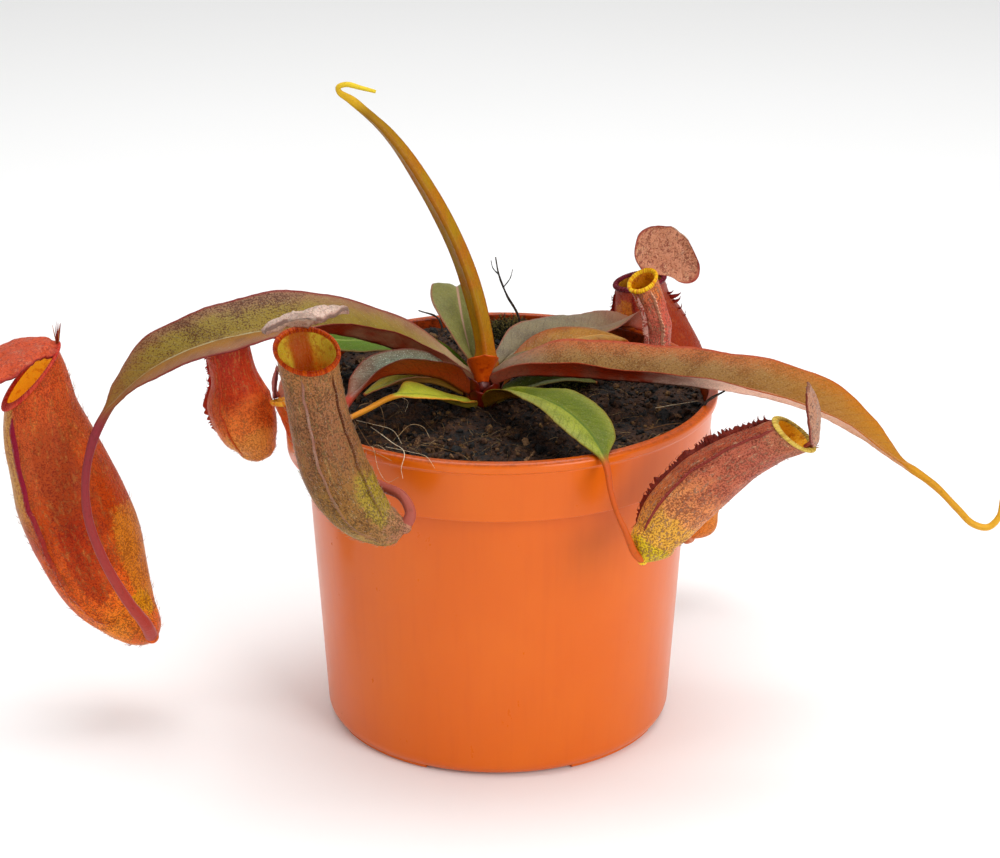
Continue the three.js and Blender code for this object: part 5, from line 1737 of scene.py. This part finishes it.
PITCHERS = (
    Pitcher(
        "far_left", LEAVES["leaf_far_left"],
        ((-110.4, -8, 31.4, 8.6), (-118.2, -5, 42.5, 13.8), (-124, -4, 58, 16.2),
         (-130.2, -3, 74, 15.6), (-135.3, -2.4, 90, 12.5), (-137.6, -2, 106.8, 9.2)),
        front=(-1, -0.35, 0), tilt=0.78, breadth=0.92, rim=0.62, hollow_from=0.24, wing=2.2,
        furrow=(1.35, 0.42, 0.2, 1.5), hairs=420, hair_length=1.1, tuft=(9, 7.5), wing_thick=1.35,
        teeth=0.1, plump=0.5,
        finish=CupFinish(
            ((0.0, "e46830"), (0.12, "ff9a38"), (0.3, "ea6c2e"), (0.55, "bc4a20"), (0.8, "be5a34"),
             (1.0, "cc5830")),
            speck="6a0c02", specks=0.62, glow="f09c50", glows=0.6, front="cc9a4c", front_share=0.85,
            front_from=0.52, painted_glow=0.45,
            patches=(Patch("dc9034", 2.7, 0.36, 1.0, 0.26, 0.85),
                     Patch("e4a42c", 1.9, 0.16, 0.6, 0.13, 0.9),
                     # Dark red band along the furrow: painted shade in the groove.
                     Patch("a02c08", 1.3, 0.44, 0.5, 0.22, 0.55),
                     Patch("8e3a26", 1.5, 0.72, 0.6, 0.22, 0.45)),
            rim=("c8503c", "a82c30"), inside=("e0a030", "d0862c", "b85a24"), wing="86303a", seam="8a2a3a",
            wing_fade=0.9, hair="7a2a28")),
    Pitcher(
        "front_left", LEAVES["leaf_left_mid"],
        ((-32, -73, 89.6, 6), (-39, -71.5, 95, 8.6), (-44.4, -70, 104.4, 9.4), (-47.9, -68, 115, 8.8),
         (-50.3, -65.5, 125.6, 8.2), (-52, -63, 136.6, 8.6)),
        front=(0.33, -0.94, 0), tilt=0.62, breadth=0.98, rim=0.46, hollow_from=0.24, wing=1.0,
        hairs=700, hair_length=0.8, tuft=(3, 1.8), wing_thick=0.45, teeth=0.05, plump=0.9,
        finish=CupFinish(
            ((0.0, "b07a60"), (0.15, "ac8250"), (0.35, "98703a"), (0.6, "946444"), (0.85, "a06e4c"),
             (1.0, "ae7648")),
            speck="341a0c", specks=0.66, glow="d0ae72", glows=0.6, front="8e5e42", front_share=0.35,
            painted_glow=0.24, stripe=0.85,
            patches=(Patch("aca038", 1.1, 0.28, 1.3, 0.24, 0.5),
                     Patch("a8904a", -1.4, 0.16, 0.8, 0.18, 0.5)),
            rim=("b85014", "8a2c10"), inside=("b49838", "bc5824", "963e1c"), wing="94685a", seam="5a3628",
            wing_fade=0.6, hair="a88a78")),
    Pitcher(
        "left_back", LEAVES["leaf_left_back"],
        ((-73, 7.6, 82.4, 6.4), (-75, 6, 88.6, 9.2), (-77.4, 6, 96, 9.6), (-78.6, 6, 103.4, 7),
         (-79.8, 6, 110.6, 6.6), (-80.4, 6.5, 116, 7)),
        front=(-0.9, -0.45, 0), tilt=0.5, breadth=0.95, rim=0.7, hollow_from=0.26, wing=2.0,
        hairs=260, hair_length=0.6, tuft=(3, 2.0), teeth=0.7, fringe_gap=1.5, near_wing=0.3, plump=0.8,
        finish=CupFinish(
            ((0.0, "fc9c54"), (0.15, "ffb464"), (0.38, "f08440"), (0.6, "c4482c"), (1.0, "ac3c34")),
            speck="7c0c04", specks=0.52, glow="f4ac60", glows=0.5, front="c85a38", front_share=0.4,
            patches=(Patch("e8a04c", 1.2, 0.2, 1.3, 0.2, 0.75),),
            rim=("c05a34", "902c20"), inside=("b88a38", "b0602c", "8a3020"), wing="a02c28", seam="c04c34",
            wing_fade=0.4, hair="8a2c24")),
    Pitcher(
        "small_left", LEAVES["leaf_yellow_green"],
        ((-55, -45.4, 101.6, 2.4), (-56.4, -42.8, 105, 3), (-58.2, -40.4, 109, 3.2),
         (-60, -39, 112.8, 3.3)),
        front=(0.8, -0.5, 0.3), tilt=0.35, breadth=0.95, rim=0.55, hollow_from=0.34, wing=0.9,
        wing_from=0.3, hairs=50, hair_length=0.4, tuft=(2, 3.0), levels=60, columns=64,
        finish=CupFinish(
            ((0.0, "c8542a"), (0.5, "c84a24"), (1.0, "c05428")),
            speck="8e2c1c", specks=0.35, glow="e09048", glows=0.35, front="d07a34", front_share=0.5,
            rim=("e0a038", "c05a24"), inside=("d8a038", "c87a2c", "a04a20"), wing="a83a24", hair="6a2420")),
    Pitcher(
        "front_right", LEAVES["leaf_front_right"],
        ((43.6, -69, 84.4, 6.4), (49.6, -67.6, 92.4, 8.4), (57.2, -67, 100, 8.3), (65.6, -68, 107, 7),
         (73.6, -69, 111.8, 6.0), (80.6, -70, 115, 5.6)),
        front=(-0.55, -0.08, 0.83), tilt=0.55, breadth=0.95, rim=0.5, hollow_from=0.26, wing=3.0,
        hairs=160, hair_length=0.5, tuft=(3, 2.2), fringe_gap=1.7, teeth=0.7, wing_thick=0.5,
        near_wing=0.4,
        spikes=((0.93, -0.5, 2.2), (0.89, -0.52, 2.4), (0.86, -0.5, 2.0), (0.82, -0.55, 1.8),
                (0.78, -0.5, 1.6), (0.6, -0.55, 3.2)),
        finish=CupFinish(
            ((0.0, "ecc038"), (0.14, "ecae48"), (0.34, "dc9058"), (0.55, "bc6a50"), (0.8, "b06250"),
             (1.0, "b07052")),
            speck="580e04", specks=0.7, glow="f4c89c", glows=0.65, front="9c4830", front_share=0.72,
            front_from=0.15, painted_glow=0.22,
            patches=(Patch("e0a844", 1.9, 0.16, 1.8, 0.2, 0.8), Patch("dcc030", 1.2, 0.06, 1.4, 0.1, 0.9)),
            rim=("d0b458", "a8823a"), inside=("e0a030", "c87428", "a04a1c"), wing="76342c", seam="86403a",
            hair="4c201c")),
    Pitcher(
        "back_right", LEAVES["leaf_brown_back"],
        ((46.4, 26.6, 101.6, 3), (48.2, 28.4, 106, 4), (48.2, 29, 112, 4.3), (46.4, 29, 119, 4.1),
         (43.6, 29, 126, 4.5)),
        front=(-0.25, -0.97, 0), tilt=0.3, breadth=0.98, rim=0.45, hollow_from=0.3, wing=1.8,
        hairs=120, hair_length=0.5, tuft=(3, 1.6), fringe_gap=1.0, levels=80, teeth=0.7, wing_thick=0.5,
        finish=CupFinish(
            ((0.0, "e4805c"), (0.4, "d86c5c"), (0.8, "d0644e"), (1.0, "e88c4c")),
            speck="640800", specks=0.66, glow="fcd0a4", glows=0.66, front="cc7460", front_share=0.4,
            rim=("ecc030", "c05a1e"), inside=("b06a20", "9a401c", "701e12"), wing="9c4438", seam="e8a888",
            hair="e8b8a8")),
    Pitcher(
        "far_back_right", LEAVES["leaf_back_right"],
        ((64.6, 76, 29.5, 7.6), (61.6, 77, 41.5, 11.4), (57, 77, 59, 12.2), (53.4, 76, 78.4, 14.8),
         (48.8, 75.6, 93, 13.2), (46, 75, 103.6, 9.8), (45, 75, 110.6, 8)),
        front=(-0.75, -0.65, 0), tilt=0.02, breadth=0.92, rim=0.6, hollow_from=0.24, wing=2.4,
        hairs=120, hair_length=0.7, tuft=(3, 2.4), fringe_gap=1.6,
        spikes=((0.9, 2.2, 2.2), (0.86, 2.3, 3.8), (0.83, 2.3, 3.0), (0.79, 2.3, 1.8), (0.75, 2.35, 1.2)),
        finish=CupFinish(
            ((0.0, "e08038"), (0.15, "e08a3e"), (0.35, "b8542c"), (0.6, "943a22"), (0.8, "903c2a"),
             (1.0, "a05044")),
            speck="6e2416", specks=0.4, glow="d0743c", glows=0.35, front="a04830", front_share=0.3,
            patches=(Patch("c07a30", 0.1, 0.84, 0.5, 0.12, 0.7),),
            rim=("6a2c34", "4a1c22"), inside=("9a6a2c", "84401f", "5a2418"), wing="7a2c28", hair="5a1c1c")),
)

LIDS = (
    lid("far_left",
        ((-129.4, -1.4, 114.4, 2.8), (-133.6, -1.4, 116, 7.6), (-140, -2, 114.8, 12.5),
         (-147.5, -3, 112, 13), (-154, -4, 109, 10), (-158.4, -5, 106.8, 4)),
        (-0.3, -0.1, 1), LidFinish("c85434", "cc5c3c", "a43430", fleck="862818", flecks=0.66,
                                   spot="f0a880", spots=0.6),
        crinkle=0.35),
    lid("front_left",
        ((-52.6, -53.6, 141.6, 2.5), (-52.4, -57.6, 144.2, 6.5), (-52.2, -63.6, 147, 11.4),
         (-52, -70.5, 149.6, 12), (-52, -76.5, 151.6, 9.5), (-52, -80.6, 152.6, 4)),
        (-0.2, 0.4, 1), LidFinish("cfb2a2", "c8a896", "9a7466", fleck="6e4c40", flecks=0.55,
                                  spot="e8d4c6", spots=0.6),
        wave=1.1, crinkle=0.45, thick=1.9),
    lid("left_back",
        ((-73.2, 9.6, 119, 2.2), (-76, 8.6, 120.4, 5.5), (-80.5, 8, 121.4, 7.6),
         (-85.5, 7.4, 121, 7.2), (-89, 7, 119.8, 3)),
        (-0.2, 0, 1), LidFinish("b2503e", "a8483a", "8a342c")),
    lid("small_left",
        ((-62.8, -37.6, 113.6, 1.2), (-63.4, -37.4, 116, 2.8), (-63, -37.4, 119.4, 3.4),
         (-62.2, -37.4, 122.4, 1.6)),
        (-1, 0, 0), LidFinish("a8524a", "98443c", "6a2c2c")),
    lid("front_right",
        ((84.2, -68.6, 110.4, 1.6), (86.8, -69.6, 113.4, 3.6), (86.8, -71, 118, 7.4),
         (85.6, -72, 123.8, 7.8), (83.8, -73, 129.8, 3)),
        (0.97, -0.24, 0.15), LidFinish("b88468", "a85440", "84301e", fleck="402420", flecks=0.7,
                                       spot="ecc8ac", spots=0.6)),
    lid("back_right",
        ((45, 34.4, 127, 1.8), (46.4, 35.2, 129.6, 9, 6.6), (49.4, 35.2, 133.2, 13.6, 9.4),
         (52.4, 34.8, 136.8, 11.4, 8), (54.8, 34.2, 139.6, 3.6, 3.4)),
        (0, 1, 0.1), LidFinish("dca482", "d09070", "9a3430", fleck="74140c", flecks=0.72, spot="f4d0a4",
                               spots=0.7)),
    lid("far_back_right",
        ((51.4, 80.6, 111.2, 2), (51.8, 81.6, 113.6, 4.6), (51.8, 82, 117.6, 6.6), (51.6, 82, 122, 6),
         (51.4, 81.8, 125.6, 2.6)),
        (0.4, 1, 0), LidFinish("8a4232", "7e382c", "5a2420")),
)

TWIGS = (
    Twig("twig_back", ((7, 36, 94), (6.4, 37.5, 111), (2.6, 38, 118.5), (0.2, 38, 125),
                       (-0.8, 38, 130.6)), 1.0,
         sides=(((1.6, 38, 121), (3.6, 37.4, 124), (4.4, 37, 127)),
                ((0.2, 38, 125), (-1.6, 38.4, 127), (-2.2, 38.6, 129.4)))),
    Twig("twig_right", ((55, -19.4, 94), (60, -18.6, 104.6), (65.6, -18, 108.2)), 1.4),
    Twig("twig_left", ((-17, 52, 95), (-18.6, 56, 104.4), (-25, 58.6, 106.4)), 1.0),
)

MOSSES = (
    Moss("moss_right", (21, 13), (8, 5.5), 1.8, 170),
    Moss("moss_back", (3.5, 53), (9, 5.5), 4.0, 190, 1.9,
         SkinFinish("7d6f3c", "49421e", "19160b", 0.8, 0.8, 0.2)),
)

ROOTS = (
    (0.13, ((-36, -40, 99), (-34, -45, 102), (-31, -52, 102.5), (-30, -58, 101))),
    (0.12, ((-38, -43, 99), (-40, -48, 102.5), (-38, -53, 104.5), (-33, -57, 104), (-28, -58, 101.5))),
    (0.12, ((-41.7, -9.8, 98.5), (-40.1, -11.9, 101.5), (-35.6, -12.9, 102.5), (-33.3, -20, 101.5),
            (-33.5, -31, 100.5), (-37.8, -31.1, 99))),
    (0.13, ((-43.3, -11.4, 98.5), (-39.1, -33.6, 101.5), (-35.7, -47.7, 102.5), (-34, -55, 104.2),
            (-34.2, -56.6, 104.5))),
    (0.14, ((-36.8, -21.9, 98.5), (-30.2, -42.6, 102), (-25.9, -59, 104.6), (-26.8, -60.6, 101.2),
            (-26.4, -60, 98))),
    (0.12, ((-31.7, -41.4, 100), (-24.6, -51.5, 102.5), (-19.4, -61.2, 104.6), (-17.4, -63.8, 102.5))),
    (0.12, ((-28.7, -29.1, 98.5), (-25.3, -28.1, 101.5), (-21.5, -30.4, 101.8), (-19.5, -33.2, 99.5))),
    (0.1, ((-36.7, -44.7, 101), (-34.6, -54.8, 104.6), (-33.2, -57.6, 99.5), (-30.8, -58.4, 96.3),
           (-27.5, -60.7, 98.7))),
    (0.1, ((-22.2, -37.3, 99), (-16.4, -44.7, 101), (-10.1, -52.5, 102), (-8, -60, 103.4))),
    (0.11, ((-41.6, -17.6, 99), (-36.2, -28.6, 102), (-30.3, -32, 101.5), (-27.3, -39.1, 100))),
    (0.12, ((42.7, 15.8, 99), (46.3, 17.4, 101), (51, 14.3, 101.5), (53.4, 25.4, 100))),
    (0.14, ((42, -26, 99), (48.9, -26.4, 101), (53.5, -27, 101.5), (55.6, -28.4, 101))),
    (0.12, ((43.4, -33.5, 99), (47.7, -32.3, 101), (51.6, -30.8, 101.2))),
    (0.1, ((46, -9.1, 99.5), (52.7, -9.8, 101), (58.8, -7.3, 101))),
    (0.1, ((-30.6, 1.7, 99.5), (-26.4, -9.4, 101.5), (-27.1, -15, 100.5))),
)


@dataclass(frozen=True)
class Studio:
    """Pale floor, soft light from above and the sides, and the camera."""

    distance: float = 0.831
    rise: float = 0.413
    aside: float = 0.00055
    pitch: float = 21.28
    lens: float = 108.0
    sensor: float = 36.0
    clip: float = 0.01
    aim_height: float = 0.09
    floor_half: float = 4.0
    floor_drop: float = 0.0002
    surround: float = 0.46

    def camera(self) -> None:
        """Places the camera in front, looking down at its pitch."""
        data = bpy.data.cameras.new("camera")
        data.lens = self.lens
        data.sensor_width = self.sensor
        data.clip_start = self.clip
        bpy.context.scene.camera = placed("camera", data, (self.aside, -self.distance, self.rise),
                                          (math.radians(90 - self.pitch), 0, 0))

    def floor(self) -> None:
        """Lays a large pale matt floor just under the pot's feet."""
        mesh = bpy.data.meshes.new("floor")
        half = self.floor_half
        corners = [(-half, -half, 0), (half, -half, 0), (half, half, 0), (-half, half, 0)]
        mesh.from_pydata(corners, [], [(0, 1, 2, 3)])
        s = Shader("floor")
        shade = s.mix("fdfdfd", "fafaf9", s.grain(s.place(), 300.0))
        mesh.materials.append(s.close(shade, 0.9))
        placed("floor", mesh, (0, 0, -self.floor_drop))

    def lamp(self, name: str, place: Triple, size: Tuple[float, float], power: float) -> None:
        """Adds a soft panel light that faces the plant.

        Args:
            name: Name of the light.
            place: Where it stands, in metres.
            size: Width and height in metres.
            power: Watts.
        """
        data = bpy.data.lights.new(name, "AREA")
        data.shape = "RECTANGLE"
        data.size, data.size_y = size
        data.energy = power
        aim = np.array([0, 0, self.aim_height]) - np.array(place)
        flat = float(np.hypot(aim[0], aim[1]))
        placed(name, data, place,
               (math.atan2(flat, -aim[2]), 0, math.atan2(aim[1], aim[0]) - math.pi / 2))

    def build(self) -> None:
        """Makes the camera, floor, lights and the white surround."""
        self.camera()
        self.floor()
        self.lamp("light_key", (0.75, -0.95, 0.6), (0.6, 0.7), 9.5)
        self.lamp("light_fill", (-0.95, -0.5, 0.7), (0.5, 0.9), 2.0)
        self.lamp("light_top", (0.0, 0.15, 1.2), (1.1, 0.9), 11.0)
        world = bpy.data.worlds.new("surround")
        world.use_nodes = True
        background = world.node_tree.nodes["Background"]
        background.inputs["Color"].default_value = (1, 1, 1, 1)
        background.inputs["Strength"].default_value = self.surround
        bpy.context.scene.world = world
        bpy.context.scene.view_settings.view_transform = "Standard"


def main() -> None:
    """Builds the plant round its frame."""
    logging.basicConfig(level=logging.INFO, format="%(name)s: %(message)s")
    Studio().build()
    Pot().build()
    Soil(long_roots=ROOTS).build()
    Crown().build()
    for part in (*LEAVES.values(), *PITCHERS, *LIDS, *TWIGS, *MOSSES):
        part.build()


if __name__ == "__main__":
    main()
